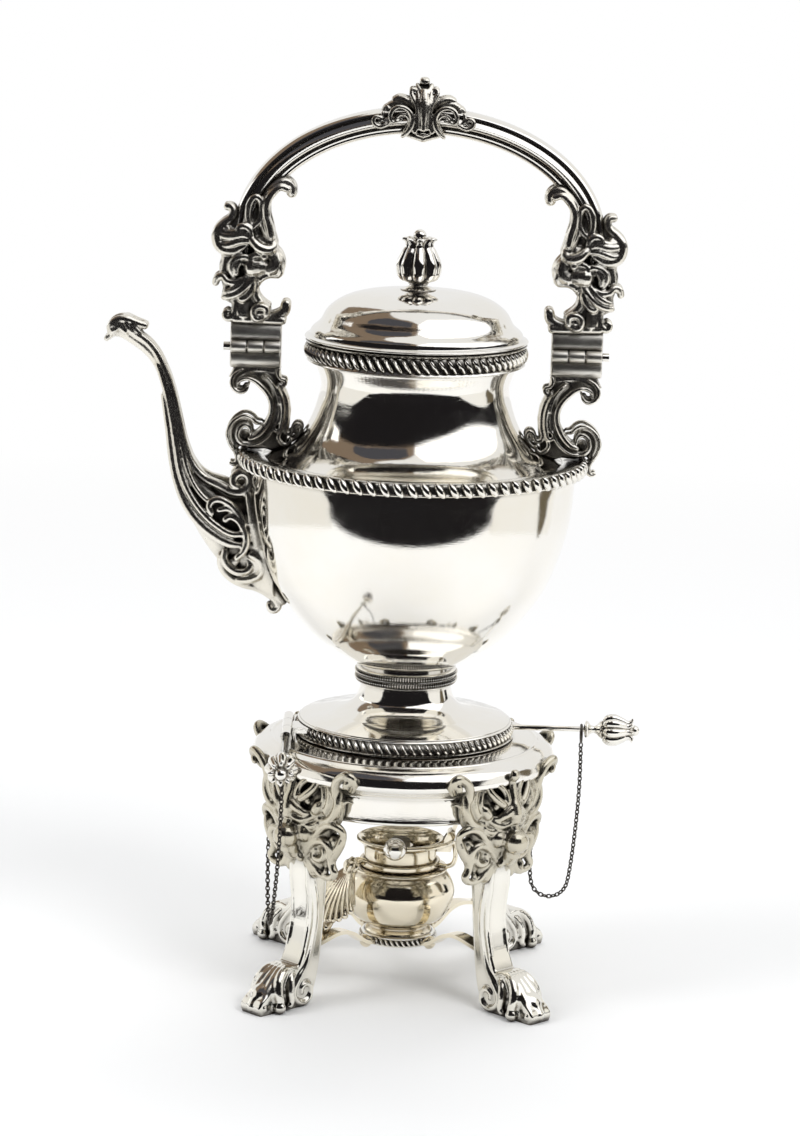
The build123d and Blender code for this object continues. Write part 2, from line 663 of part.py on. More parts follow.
# C-scroll bracket between the shoulder and a bail hinge, right side; the left one mirrors it
lower_leaf_top = bail_hinge_z - running_gap / 2
lower_leaf_bottom = lower_leaf_top - lower_leaf_height
upper_leaf_bottom = bail_hinge_z + running_gap / 2
upper_leaf_top = upper_leaf_bottom + upper_leaf_height
scroll_top_r = scroll_r + scroll_section_r
scroll_z = lower_leaf_bottom - scroll_top_r
strand_line = [(63.0, 290.0), (59.0, 277.0), (59.5, 267.0), (57.5, 261.0)]
strand_edge = set_off(strand_line, 4.0)
with BuildPart() as bracket_right:
    with BuildSketch(Plane.XZ):
        with Locations((scroll_x, scroll_z)):
            Circle(scroll_top_r)
            Circle(scroll_r - scroll_section_r, mode=Mode.SUBTRACT)
        with Locations((scroll_x + scroll_r, scroll_z)):
            Rectangle(2 * scroll_r - 6.0, 1.25 * scroll_r, mode=Mode.SUBTRACT)
        with Locations((scroll_x + scroll_curl_r, scroll_z + scroll_r - 2.5)):
            Circle(scroll_curl_r)
        with Locations((scroll_x + 2.0, scroll_z - scroll_r + 4.0)):
            Circle(scroll_curl_r + 2.0)
        with BuildLine():
            Spline(*strand_line)
            Line(strand_line[-1], strand_edge[-1])
            Spline(*strand_edge)
            Line(strand_edge[0], strand_line[0])
        make_face()
        with Locations((57.0, 262.5)):
            Circle(3.6)
        with Locations((bail_hinge_x - 1.0, scroll_z + scroll_r + 1.0)):
            Rectangle(leaf_width - 6.0, 2 * (lower_leaf_bottom - scroll_z - scroll_r - 1.0))
        with Locations((70.0, scroll_z - scroll_top_r + 2.0)):
            Rectangle(14.0, 8.0)
    extrude(amount=scroll_depth / 2, both=True)
    with Locations((shoulder_band_r + 3.0, 0, shoulder_z + 0.5)):
        Sphere(3.4)
    with BuildSketch(Plane.XZ):
        with BuildLine():
            Polyline((shoulder_band_r + 0.5, scroll_z - 10.0), (shoulder_band_r + 5.0, scroll_z - 9.0),
                     (shoulder_band_r + 5.0, shoulder_z + 1.0), (shoulder_band_r + 1.5, shoulder_z + 1.0),
                     (shoulder_band_r + 0.5, scroll_z - 10.0))
        make_face()
    extrude(amount=2.0, both=True)
    add(neck_body.part, mode=Mode.SUBTRACT)
    add(bowl_body.part, mode=Mode.SUBTRACT)
    add(shoulder_band.part, mode=Mode.SUBTRACT)
bracket_right.part.label = "bracket_right"
bracket_left = mirror(bracket_right.part, about=Plane.YZ)
bracket_left.label = "bracket_left"

# Leaves of the bail hinges, right side, with the barrel in front
knuckle_step = leaf_width / 3
barrel_gap = running_gap / 2
with BuildPart() as lower_leaf_right:
    with Locations((bail_hinge_x, 0, lower_leaf_top)):
        Box(leaf_width, leaf_depth, lower_leaf_height,
            align=(Align.CENTER, Align.CENTER, Align.MAX))
    fillet(lower_leaf_right.edges().filter_by(Axis.Y).group_by(Axis.Z)[0], 2.0)
    with Locations(Location((bail_hinge_x, bail_hinge_y, bail_hinge_z), (0, 90, 0))):
        Cylinder(bail_knuckle_r, leaf_width)
        Cylinder(bail_knuckle_r + running_gap, knuckle_step + 2 * barrel_gap, mode=Mode.SUBTRACT)
        Cylinder(bail_pin_r + pin_clearance, 2 * leaf_width, mode=Mode.SUBTRACT)
lower_leaf_right.part.label = "lower_leaf_right"
lower_leaf_left = mirror(lower_leaf_right.part, about=Plane.YZ)
lower_leaf_left.label = "lower_leaf_left"

with BuildPart() as upper_leaf_right:
    with Locations((bail_hinge_x, 0, upper_leaf_bottom)):
        Box(leaf_width, leaf_depth, upper_leaf_height,
            align=(Align.CENTER, Align.CENTER, Align.MIN))
    fillet(upper_leaf_right.edges().filter_by(Axis.Y).group_by(Axis.Z)[-1], 2.0)
    with Locations(Location((bail_hinge_x, bail_hinge_y, bail_hinge_z), (0, 90, 0))):
        Cylinder(bail_knuckle_r + running_gap, 2 * leaf_width, mode=Mode.SUBTRACT)
    with Locations(Location((bail_hinge_x, bail_hinge_y, bail_hinge_z), (0, 90, 0))):
        Cylinder(bail_knuckle_r, knuckle_step - 2 * barrel_gap)
    with Locations((bail_hinge_x, bail_hinge_y / 2, upper_leaf_bottom + bail_knuckle_r)):
        Box(knuckle_step - 2 * barrel_gap, -bail_hinge_y, 2 * bail_knuckle_r)
    with Locations(Location((bail_hinge_x, bail_hinge_y, bail_hinge_z), (0, 90, 0))):
        Cylinder(bail_pin_r, 2 * leaf_width, mode=Mode.SUBTRACT)
upper_leaf_right.part.label = "upper_leaf_right"
upper_leaf_left = mirror(upper_leaf_right.part, about=Plane.YZ)
upper_leaf_left.label = "upper_leaf_left"

with BuildPart() as bail_pin_right:
    with Locations(Location((bail_hinge_x, bail_hinge_y, bail_hinge_z), (0, 90, 0))):
        Cylinder(bail_pin_r, leaf_width)
    with Locations(Location((bail_hinge_x + leaf_width / 2, bail_hinge_y, bail_hinge_z), (0, 90, 0))):
        Cylinder(bail_knuckle_r - 0.9, bail_pin_head, align=(Align.CENTER, Align.CENTER, Align.MIN))
bail_pin_left = mirror(bail_pin_right.part, about=Plane.YZ)
bail_pins = Compound([bail_pin_left.solid(), bail_pin_right.part.solid()])
bail_pins.label = "bail_pins"

# Arch of the bail, half an ellipse with straight tails inside the lion heads
tail_z = arch_center_z - arch_tail
with BuildPart() as bail_arch:
    with BuildLine(Plane.XZ):
        Line((-arch_a, tail_z), (-arch_a, arch_center_z))
        EllipticalCenterArc((0, arch_center_z), arch_a, arch_b, start_angle=0, arc_size=180)
        Line((arch_a, arch_center_z), (arch_a, tail_z))
    with BuildSketch(Plane.XY.offset(tail_z)):
        with Locations((-arch_a, 0)):
            RectangleRounded(arch_thickness, arch_width, 4.0)
    sweep()
bail_arch.part.label = "bail_arch"

# Lion head with scrolls, in profile toward the lid, right side
mane_x = bail_hinge_x + 22.0
with BuildPart() as bail_mask_right:
    with BuildSketch(Plane.XZ):
        with BuildLine():
            Polyline((89.0, upper_leaf_top), (64.5, upper_leaf_top), (61.8, 326.0))
            Spline((61.8, 326.0), (63.5, 332.0), (68.0, 328.5), (71.5, 334.0), (68.5, 340.0),
                   (64.8, 345.5), (67.5, 350.0), (66.0, 356.0), (70.5, 363.5), (66.5, 371.5),
                   (59.0, 378.5), (57.0, 386.5))
            Spline((57.0, 386.5), (63.5, 384.0), (70.0, 379.5), (80.0, 380.0), (91.5, 377.0),
                   (mane_x - 1.0, 365.0), (mane_x, 350.0), (mane_x - 3.0, 338.0), (95.0, 327.0),
                   (89.0, upper_leaf_top))
        make_face()
    extrude(amount=head_width / 2, both=True)
    with Locations((82.5, 0, 354.0)):
        Sphere(13.5)
    for side in (-1, 1):
        with Locations(Location((88.0, side * head_width / 2, 328.5), (90, 0, 0))):
            Cylinder(5.5, 3.0)
        with Locations((75.0, side * (head_width / 2 - 1.0), 359.0)):
            Sphere(4.0)
    add(bail_arch.part, mode=Mode.SUBTRACT)
bail_mask_right.part.label = "bail_mask_right"
bail_mask_left = mirror(bail_mask_right.part, about=Plane.YZ)
bail_mask_left.label = "bail_mask_left"

# Palmette with scrolls on top of the arch
arch_top_z = arch_center_z + arch_b + arch_thickness / 2
arch_under_z = arch_top_z - arch_thickness
crest_depth = arch_width + 4.0
crest_top_z = arch_top_z + crest_rise
with BuildPart() as bail_crest:
    with BuildSketch(Plane.XZ):
        with BuildLine():
            Polyline((0, crest_top_z), (3.2, crest_top_z - 1.5), (2.6, crest_top_z - 4.5),
                     (7.0, arch_top_z + 6.0), (6.5, arch_top_z + 1.0), (10.5, arch_top_z + 2.0),
                     (17.0, arch_top_z + 3.2), (crest_half_width - 1.0, arch_top_z),
                     (crest_half_width, arch_top_z - 5.0), (crest_half_width - 6.0, arch_under_z + 2.0),
                     (9.0, arch_under_z - 0.5), (0, arch_under_z + 0.5))
            mirror(about=Plane.YZ)
        make_face()
    extrude(amount=crest_depth / 2, both=True)
    add(bail_arch.part, mode=Mode.SUBTRACT)
bail_crest.part.label = "bail_crest"

# Domed lid, with a flat for the finial
lid_seat_z = mouth_z + running_gap
lid_flat_r = 9.0
lid_outline = [
    (lid_r - 2.2, lid_seat_z + lid_rim_height + 0.6), (49.4, 316.6), (45.6, 320.0),
    (42.0, 326.0), (35.0, 331.0), (25.0, 334.0), (lid_flat_r, lid_top_z),
]
lid_inner = set_off(lid_outline, lid_wall)
with BuildPart() as lid:
    with BuildSketch(Plane.XZ):
        with BuildLine():
            Polyline((0, lid_seat_z), (lid_r, lid_seat_z), (lid_r, lid_seat_z + lid_rim_height),
                     lid_outline[0])
            Spline(*lid_outline)
            Polyline(lid_outline[-1], (0, lid_top_z), (0, lid_seat_z))
        make_face()
    revolve(axis=Axis.Z)
    with BuildSketch(Plane.XZ):
        with BuildLine():
            Spline(*lid_inner)
            Polyline(lid_inner[-1], (0, lid_top_z - lid_wall), (0, lid_seat_z - 1.0),
                     (mouth_r - bowl_wall - running_gap - bezel_wall, lid_seat_z - 1.0), lid_inner[0])
        make_face()
    revolve(axis=Axis.Z, mode=Mode.SUBTRACT)
    with Locations((0, 0, lid_top_z)):
        Cylinder(finial_stem_r / 2, 6 * lid_wall, mode=Mode.SUBTRACT)
lid.part.label = "lid"

bezel_r = mouth_r - bowl_wall - running_gap
with BuildPart() as lid_bezel:
    with BuildSketch(Plane.XY.offset(lid_seat_z - bezel_length)):
        Circle(bezel_r)
        Circle(bezel_r - bezel_wall, mode=Mode.SUBTRACT)
    extrude(amount=bezel_length)
lid_bezel.part.label = "lid_bezel"


def bud_outline(radius, length):
    shape = ((0.42, 0.0), (0.86, 0.14), (1.0, 0.33), (0.84, 0.56), (0.66, 0.74), (0.72, 0.88),
             (0.86, 1.0))
    return [(radius * across, length * along) for across, along in shape]


def bud_section(radius, length):
    outline = bud_outline(radius, length)
    Spline(*outline)
    Polyline(outline[-1], (0, length), (0, 0), outline[0])


# Finial: stem with a base disc and a screw, bud with its ball, nut under the lid
screw_r = finial_stem_r / 2
screw_end_z = lid_top_z - lid_wall - 3.5
with BuildPart() as finial_stem:
    with BuildSketch(Plane.XZ):
        with BuildLine():
            Polyline((0, screw_end_z), (screw_r, screw_end_z),
                     (screw_r, lid_top_z), (lid_flat_r - 1.0, lid_top_z),
                     (lid_flat_r - 1.0, lid_top_z + 0.8), (finial_stem_r, lid_top_z + 2.0),
                     (finial_stem_r * 0.8, lid_top_z + 3.6), (finial_stem_r * 1.3, finial_bottom_z - 0.6),
                     (finial_stem_r * 1.3, finial_bottom_z), (0, finial_bottom_z),
                     (0, screw_end_z))
        make_face()
    revolve(axis=Axis.Z)
finial_stem.part.label = "finial_stem"

finial_length = finial_top_z - finial_bottom_z
with BuildPart() as lid_finial:
    with BuildSketch(Plane(origin=(0, 0, finial_bottom_z), x_dir=(1, 0, 0), z_dir=(0, -1, 0))):
        with BuildLine():
            bud_section(finial_r, finial_length)
        make_face()
    revolve(axis=Axis.Z)
    with Locations((0, 0, finial_bottom_z + finial_length * 0.45)):
        with PolarLocations(finial_r + 0.9, finial_lobes):
            Cylinder(1.9, 1.2 * finial_length, mode=Mode.SUBTRACT)
    with Locations((0, 0, finial_ball_z - finial_ball_r)):
        Sphere(finial_ball_r)
lid_finial.part.label = "lid_finial"

with BuildPart() as finial_nut:
    with BuildSketch(Plane.XY.offset(lid_top_z - lid_wall)):
        RegularPolygon(2.4 * screw_r, 6)
        Circle(screw_r, mode=Mode.SUBTRACT)
    extrude(amount=-2.4)
finial_nut.part.label = "finial_nut"

# Spirit pot with its foot ring and flange
burner_bottom_z = support_top_z - support_recess + running_gap
burner_floor_z = burner_bottom_z + 4.5
throat_inner_r = throat_r - burner_wall
pot_outline = [
    (burner_foot_r - 1.6, burner_floor_z), (22.5, 32.5), (burner_pot_r, burner_pot_z),
    (25.0, 50.0), (burner_flange_r - 0.6, burner_flange_z - 1.6),
]
pot_inner = set_off(pot_outline, burner_wall)
with BuildPart() as burner_pot:
    with BuildSketch(Plane.XZ):
        with BuildLine():
            Polyline((0, burner_floor_z - 1.0), (burner_foot_r - 3.0, burner_floor_z - 1.0),
                     (burner_foot_r - 2.0, burner_bottom_z), (burner_foot_r, burner_bottom_z),
                     pot_outline[0])
            Spline(*pot_outline)
            Polyline(pot_outline[-1], (burner_flange_r, burner_flange_z - 1.4),
                     (burner_flange_r, burner_flange_z), (0, burner_flange_z),
                     (0, burner_floor_z - 1.0))
        make_face()
    revolve(axis=Axis.Z)
    with BuildSketch(Plane.XZ):
        with BuildLine():
            Spline(*pot_inner)
            Polyline(pot_inner[-1], (throat_inner_r, burner_flange_z - burner_wall),
                     (throat_inner_r, burner_flange_z + 1.0), (0, burner_flange_z + 1.0),
                     (0, burner_floor_z + burner_wall), (pot_inner[0][0], burner_floor_z + burner_wall),
                     pot_inner[0])
        make_face()
    revolve(axis=Axis.Z, mode=Mode.SUBTRACT)
burner_pot.part.label = "burner_pot"

# Throat with its flared and rolled rim
rim_roll_r = 1.1
with BuildPart() as burner_throat:
    with BuildSketch(Plane.XZ):
        with BuildLine():
            Polyline((throat_inner_r, burner_flange_z), (throat_r, burner_flange_z),
                     (throat_r, rim_z - 6.0))
            TangentArc((throat_r, rim_z - 6.0), (rim_r - rim_roll_r, rim_z), tangent=(0, 1))
            Line((rim_r - rim_roll_r, rim_z), (rim_r - rim_roll_r - burner_wall, rim_z))
            Spline((rim_r - rim_roll_r - burner_wall, rim_z), (throat_inner_r + 0.6, rim_z - 3.6),
                   (throat_inner_r, rim_z - 6.0))
            Line((throat_inner_r, rim_z - 6.0), (throat_inner_r, burner_flange_z))
        make_face()
    revolve(axis=Axis.Z)
    with Locations((0, 0, rim_z)):
        Torus(rim_r - rim_roll_r, rim_roll_r)
burner_throat.part.label = "burner_throat"

# Plate with the wick tube, in the mouth of the pot, and the wick
holder_thickness = 1.2
with BuildPart() as wick_holder:
    with BuildSketch(Plane.XY.offset(burner_flange_z - holder_thickness)):
        Circle(throat_inner_r)
    extrude(amount=holder_thickness)
    with BuildSketch(Plane.XY.offset(burner_flange_z - 12.0)):
        Circle(wick_tube_r)
    extrude(amount=wick_tube_top_z - burner_flange_z + 12.0)
    with Locations((0, 0, burner_flange_z)):
        Cylinder(wick_r, 4 * wick_tube_top_z, mode=Mode.SUBTRACT)
wick_holder.part.label = "wick_holder"

wick_bottom_z = burner_floor_z + 2 * burner_wall
with BuildPart() as wick:
    with BuildSketch(Plane.XY.offset(wick_bottom_z)):
        Circle(wick_r)
    extrude(amount=wick_top_z - wick_bottom_z)
    fillet(wick.edges().group_by(Axis.Z)[-1], 1.2)
wick.part.label = "wick"

# Regulator: ring round the throat with a post, the curved lever that the post carries beside the
# flared rim, and the lever's ball knob
regulator_z = burner_flange_z + running_gap
regulator_inner_r = throat_r + running_gap
regulator_outer_r = regulator_inner_r + 1.8
post_angle = radians(-lever_post_angle)
with BuildPart() as regulator:
    with BuildSketch(Plane.XY.offset(regulator_z)):
        Circle(regulator_outer_r)
        arm_middle_r = (regulator_inner_r + lever_r) / 2
        with Locations(Location((arm_middle_r * cos(post_angle), arm_middle_r * sin(post_angle), 0),
                                (0, 0, -lever_post_angle))):
            Rectangle(lever_r - regulator_inner_r, lever_width)
        Circle(regulator_inner_r, mode=Mode.SUBTRACT)
    extrude(amount=regulator_height)
    with BuildSketch(Plane.XY.offset(regulator_z)):
        with Locations((lever_r * cos(post_angle), lever_r * sin(post_angle))):
            Circle(lever_width / 2)
    extrude(amount=lever_z + lever_width / 2 - regulator_z)
    with BuildSketch(Plane.XY.offset(lever_z - lever_width / 2)):
        with BuildLine():
            lever_sweep = lever_angle - lever_post_angle
            outer_arc = CenterArc((0, 0), lever_r + lever_width / 2, -lever_angle, lever_sweep)
            inner_arc = CenterArc((0, 0), lever_r - lever_width / 2, -lever_angle, lever_sweep)
            Line(outer_arc @ 0, inner_arc @ 0)
            Line(outer_arc @ 1, inner_arc @ 1)
        make_face()
    extrude(amount=lever_width)
regulator.part.label = "regulator"

knob_angle = radians(-lever_angle)
lever_end = Plane(
    origin=(lever_r * cos(knob_angle), lever_r * sin(knob_angle), lever_z),
    z_dir=(sin(knob_angle), -cos(knob_angle), 0),
)
with BuildPart(lever_end) as regulator_knob:
    with Locations((0, 0, knob_r - knob_flat)):
        Sphere(knob_r)
    with Locations((0, 0, -knob_r)):
        Box(3 * knob_r, 3 * knob_r, 2 * knob_r, mode=Mode.SUBTRACT)
regulator_knob.part.label = "regulator_knob"

# Snuffer: bracket on the rim, hinge pin, and cap on its arm, made closed and swung open
snuffer_pin_x = rim_r + 3.0
snuffer_pin_z = rim_z + 3.2
snuffer_open = 110.0
snuffer_knuckle_r = 2.1
snuffer_width = 4.0
cap_inner_r = wick_tube_r + 1.0
cap_outer_r = cap_inner_r + 1.1
cap_bottom_z = wick_tube_top_z - 1.0
arm_bottom_z = snuffer_pin_z - 0.6
with BuildPart() as snuffer_bracket:
    for side in (-1, 1):
        ear_y = side * (snuffer_width / 2 + running_gap + 0.8)
        with BuildSketch(Plane.XZ.offset(-ear_y)):
            with Locations((snuffer_pin_x, snuffer_pin_z)):
                Circle(snuffer_knuckle_r)
            with BuildLine():
                Polyline((snuffer_pin_x + snuffer_knuckle_r, snuffer_pin_z), (snuffer_pin_x, rim_z - 5.0),
                         (rim_r - 4.0, rim_z - 5.0), (snuffer_pin_x - snuffer_knuckle_r, snuffer_pin_z),
                         (snuffer_pin_x + snuffer_knuckle_r, snuffer_pin_z))
            make_face()
        extrude(amount=0.8, both=True)
    with Locations((rim_r + 0.5, 0, rim_z - 4.0)):
        Box(4.0, snuffer_width + 3.2, 2.0)
    with Locations(Location((snuffer_pin_x, 0, snuffer_pin_z), (90, 0, 0))):
        Cylinder(snuffer_pin_r, 4 * snuffer_width, mode=Mode.SUBTRACT)
    add(burner_throat.part, mode=Mode.SUBTRACT)
    with Locations((0, 0, rim_z - 6.0)):
        Cylinder(throat_r + 0.2, 14.0, mode=Mode.SUBTRACT)
snuffer_bracket.part.label = "snuffer_bracket"

with BuildPart() as snuffer_pin:
    with Locations(Location((snuffer_pin_x, 0, snuffer_pin_z), (90, 0, 0))):
        Cylinder(snuffer_pin_r, snuffer_width + 2 * running_gap + 3.2)
snuffer_pin.part.label = "snuffer_pin"

with BuildPart() as snuffer_closed:
    with BuildSketch(Plane.XY.offset(cap_bottom_z)):
        Circle(cap_outer_r)
    extrude(amount=arm_bottom_z - cap_bottom_z + 0.6)
    with Locations((snuffer_pin_x / 2, 0, arm_bottom_z + 0.9)):
        Box(snuffer_pin_x, snuffer_width, 1.8)
    with Locations(Location((snuffer_pin_x, 0, snuffer_pin_z), (90, 0, 0))):
        Cylinder(snuffer_knuckle_r, snuffer_width)
        Cylinder(snuffer_pin_r + pin_clearance, 2 * snuffer_width, mode=Mode.SUBTRACT)
    with BuildSketch(Plane.XY.offset(cap_bottom_z)):
        Circle(cap_inner_r)
    extrude(amount=arm_bottom_z - cap_bottom_z - 0.6, mode=Mode.SUBTRACT)
snuffer_axis = Axis((snuffer_pin_x, 0, snuffer_pin_z), (0, 1, 0))
snuffer = snuffer_closed.part.rotate(snuffer_axis, snuffer_open)
snuffer.label = "snuffer"

# Shell-shaped handle: ribs that fan out from a boss, and a strap to the flange
shell_turn = radians(shell_angle)
outward = Vector(cos(shell_turn), sin(shell_turn), 0)
across = Vector(-sin(shell_turn), cos(shell_turn), 0)
shell_top = outward * 27.5 + Vector(0, 0, 61.0)
shell_down = (outward * 0.56 + Vector(0, 0, -0.83)).normalized()
with BuildPart() as burner_handle:
    with Locations(tuple(shell_top)):
        Sphere(shell_boss_r)
    for rib in range(shell_rib_count):
        lean = radians(shell_spread * (rib / (shell_rib_count - 1) - 0.5))
        rib_line = shell_down * cos(lean) + across * sin(lean)
        with Locations(Plane(origin=shell_top, z_dir=rib_line)):
            Cone(rib_root_r, shell_rib_r, shell_length, align=(Align.CENTER, Align.CENTER, Align.MIN))
    strap_line = outward * (burner_flange_r - 2.0) + Vector(0, 0, burner_flange_z - 0.7) - shell_top
    with Locations(Plane(origin=shell_top, z_dir=strap_line)):
        Cylinder(strap_r, strap_line.length, align=(Align.CENTER, Align.CENTER, Align.MIN))
    with Locations((0, 0, burner_flange_z)):
        Cylinder(burner_flange_r, 4 * regulator_height, mode=Mode.SUBTRACT)
burner_handle.part.label = "burner_handle"


# Pins with their turned collars and bud knobs, along an axis from tip to knob
def pin_outline(rod_r, tip, collar, bud_start):
    return [
        (0, tip), (rod_r - 0.5, tip), (rod_r, tip + 0.8), (rod_r, collar), (3.6, collar + 0.8),
        (3.6, collar + 2.2), (2.3, collar + 3.6), (4.5, collar + 5.4), (4.5, collar + 6.6),
        (2.6, bud_start), (0, bud_start), (0, tip),
    ]


hinge_plane = Plane(origin=(tilt_x, 0, tilt_z), z_dir=(0, -1, 0))
hinge_tip = -(knuckle_mid_y + knuckle_length * 1.5 + knuckle_gap + 1.0)
hinge_bud_start = -hinge_bud_end_y - bud_length
with BuildPart() as hinge_pin:
    with BuildSketch(Plane.XZ):
        with BuildLine():
            Polyline(*pin_outline(hinge_pin_r, hinge_tip, -hinge_collar_y, hinge_bud_start))
        make_face()
    revolve(axis=Axis.Z)
hinge_pin_placed = hinge_plane.location * hinge_pin.part
hinge_pin_placed.label = "hinge_pin"

lock_plane = Plane(origin=(0, 0, lock_z), z_dir=(1, 0, 0))
lock_bud_start = lock_bud_end_x - bud_length
with BuildPart() as lock_pin:
    with BuildSketch(Plane.XZ):
        with BuildLine():
            Polyline(*pin_outline(lock_pin_r, lock_tip_x, lock_collar_x, lock_bud_start))
        make_face()
    revolve(axis=Axis.Z)
lock_pin_placed = lock_plane.location * lock_pin.part
lock_pin_placed.label = "lock_pin"

bud_ball_r = 2.0
with BuildPart() as pin_bud:
    with BuildSketch(Plane.XZ):
        with BuildLine():
            bud_section(bud_r, bud_length - bud_ball_r)
        make_face()
    revolve(axis=Axis.Z)
    with Locations((0, 0, bud_length * 0.42)):
        with PolarLocations(bud_r + 0.6, finial_lobes):
            Cylinder(1.2, 1.2 * bud_length, mode=Mode.SUBTRACT)
    with Locations((0, 0, bud_length - bud_ball_r)):
        Sphere(bud_ball_r)
hinge_pin_bud = hinge_plane.offset(hinge_bud_start).location * pin_bud.part
hinge_pin_bud.label = "hinge_pin_bud"
lock_pin_bud = lock_plane.offset(lock_bud_start).location * pin_bud.part
lock_pin_bud.label = "lock_pin_bud"

# Rings that hang on the pins behind their collars and carry the chains
chain_ring_r = 4.1
chain_ring_wire_r = 0.6
hinge_ring_z = tilt_z + hinge_pin_r + pin_clearance + chain_ring_wire_r - chain_ring_r
lock_ring_z = lock_z + lock_pin_r + pin_clearance + chain_ring_wire_r - chain_ring_r
with BuildPart() as hinge_chain_ring:
    with Locations(Location((tilt_x, hinge_collar_y + 1.0, hinge_ring_z), (90, 0, 0))):
        Torus(chain_ring_r, chain_ring_wire_r)
hinge_chain_ring.part.label = "hinge_chain_ring"
with BuildPart() as lock_chain_ring:
    with Locations(Location((lock_collar_x - 1.0, 0, lock_ring_z), (0, 90, 0))):
        Torus(chain_ring_r, chain_ring_wire_r)
lock_chain_ring.part.label = "lock_chain_ring"

# Safety chains, as tubes along their routes
chains = []
for name, route in (("hinge_chain", hinge_chain_route), ("lock_chain", lock_chain_route)):
    corner_radii = tube_radii(route)
    print(name, "radii", [round(radius, 1) for radius in corner_radii])
    with BuildPart() as chain:
        with BuildLine() as chain_path:
            FilletPolyline(*route, radius=corner_radii)
        first_run = Vector(*route[1]) - Vector(*route[0])
        with BuildSketch(Plane(origin=route[0], z_dir=first_run)):
            Circle(chain_diameter / 2)
        sweep()
    path_length = sum(edge.length for edge in chain_path.edges())
    section_area = 3.14159 * chain_diameter ** 2 / 4
    print(name, "length", round(path_length, 1), "volume ratio",
          round(chain.part.volume / (path_length * section_area), 4))
    chain.part.label = name
    chains.append(chain.part)

# The origin lies under the middle of the box of everything but the chains
pieces = [
    stand_ring.part, stand_apron.part, *legs, *leg_masks, burner_support_ring.part, support_arms,
    stand_knuckles.part, lock_barrel.part, chain_eyes.part,
    hinge_pin_placed, hinge_pin_bud, hinge_chain_ring.part,
    lock_pin_placed, lock_pin_bud, lock_chain_ring.part,
    kettle_bowl.part, kettle_neck.part, shoulder_band.part, neck_band.part, kettle_foot.part,
    foot_band.part, foot_collar.part, foot_knuckle.part, lock_eye.part, spout.part,
    bracket_left, bracket_right.part, lower_leaf_left, lower_leaf_right.part,
    upper_leaf_left, upper_leaf_right.part, bail_pins,
    bail_arch.part, bail_mask_left, bail_mask_right.part, bail_crest.part,
    lid.part, lid_bezel.part, finial_stem.part, lid_finial.part, finial_nut.part,
    burner_pot.part, burner_throat.part, wick_holder.part, wick.part,
    regulator.part, regulator_knob.part, snuffer, snuffer_pin.part, snuffer_bracket.part,
    burner_handle.part,
]
boxes = [piece.bounding_box() for piece in pieces]
low = [min(tuple(box.min)[axis] for box in boxes) for axis in range(3)]
high = [max(tuple(box.max)[axis] for box in boxes) for axis in range(3)]
shift = Location((-(low[0] + high[0]) / 2, -(low[1] + high[1]) / 2, -low[2]))
print("shift", [round(value, 4) for value in shift.position])
print("low", [round(value, 3) for value in low], "high", [round(value, 3) for value in high])

os.makedirs("parts", exist_ok=True)
for piece in [*pieces, *chains]:
    placed = piece.moved(shift)
    placed.label = piece.label
    export_step(placed, f"parts/{piece.label}.step")
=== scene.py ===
import bpy
import math
from functools import cached_property
from mathutils import Matrix, Vector


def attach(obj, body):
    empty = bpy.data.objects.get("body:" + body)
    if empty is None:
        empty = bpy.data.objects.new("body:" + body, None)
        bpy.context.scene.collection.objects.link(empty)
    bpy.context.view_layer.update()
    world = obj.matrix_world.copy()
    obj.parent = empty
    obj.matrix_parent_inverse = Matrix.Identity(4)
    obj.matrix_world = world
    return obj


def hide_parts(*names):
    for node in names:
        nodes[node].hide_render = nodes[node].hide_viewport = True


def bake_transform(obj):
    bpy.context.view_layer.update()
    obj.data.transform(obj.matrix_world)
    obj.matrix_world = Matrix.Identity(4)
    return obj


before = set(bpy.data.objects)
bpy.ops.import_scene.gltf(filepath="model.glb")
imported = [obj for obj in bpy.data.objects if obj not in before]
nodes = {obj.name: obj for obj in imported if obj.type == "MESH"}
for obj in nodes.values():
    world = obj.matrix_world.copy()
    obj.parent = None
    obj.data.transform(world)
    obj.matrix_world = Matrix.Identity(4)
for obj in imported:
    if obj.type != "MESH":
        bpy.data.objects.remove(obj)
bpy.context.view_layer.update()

# Pieces are drawn in millimetres round the kettle's axis, then scaled down and set in place
bench = {"scale": 0.001, "axis": (0.0170448, 0.0148, 0)}


# Small tools

def clearAll():
    bpy.ops.object.select_all(action="DESELECT")


def pick(*pieces):
    clearAll()
    for piece in pieces:
        piece.select_set(True)
    bpy.context.view_layer.objects.active = pieces[0]


def applyPlace(piece):
    pick(piece)
    bpy.ops.object.transform_apply(location=True, rotation=True, scale=True)
    return piece


def cleaned(piece, weld=0.0, outward=True):
    pick(piece)
    bpy.ops.object.mode_set(mode="EDIT")
    bpy.ops.mesh.select_all(action="SELECT")
    if weld:
        bpy.ops.mesh.remove_doubles(threshold=weld)
    if outward:
        bpy.ops.mesh.normals_make_consistent(inside=False)
    bpy.ops.object.mode_set(mode="OBJECT")
    return piece


def drawn(points, closed=False, flat=False, kind="POLY"):
    curve = bpy.data.curves.new("drawn", "CURVE")
    curve.dimensions = "2D" if flat else "3D"
    spline = curve.splines.new(kind)
    spline.points.add(len(points) - 1)
    for spot, place in zip(spline.points, points):
        spot.co = (*place, *(0,) * (3 - len(place)), 1)
    spline.use_cyclic_u = closed
    holder = bpy.data.objects.new("drawn", curve)
    bpy.context.scene.collection.objects.link(holder)
    return holder


def meshed(holder):
    pick(holder)
    bpy.ops.object.convert(target="MESH")
    return bpy.context.object


def modify(piece, kind, **settings):
    pick(piece)
    modifier = piece.modifiers.new(kind.lower(), kind)
    for key, value in settings.items():
        setattr(modifier, key, value)
    bpy.ops.object.modifier_apply(modifier=modifier.name)
    return piece


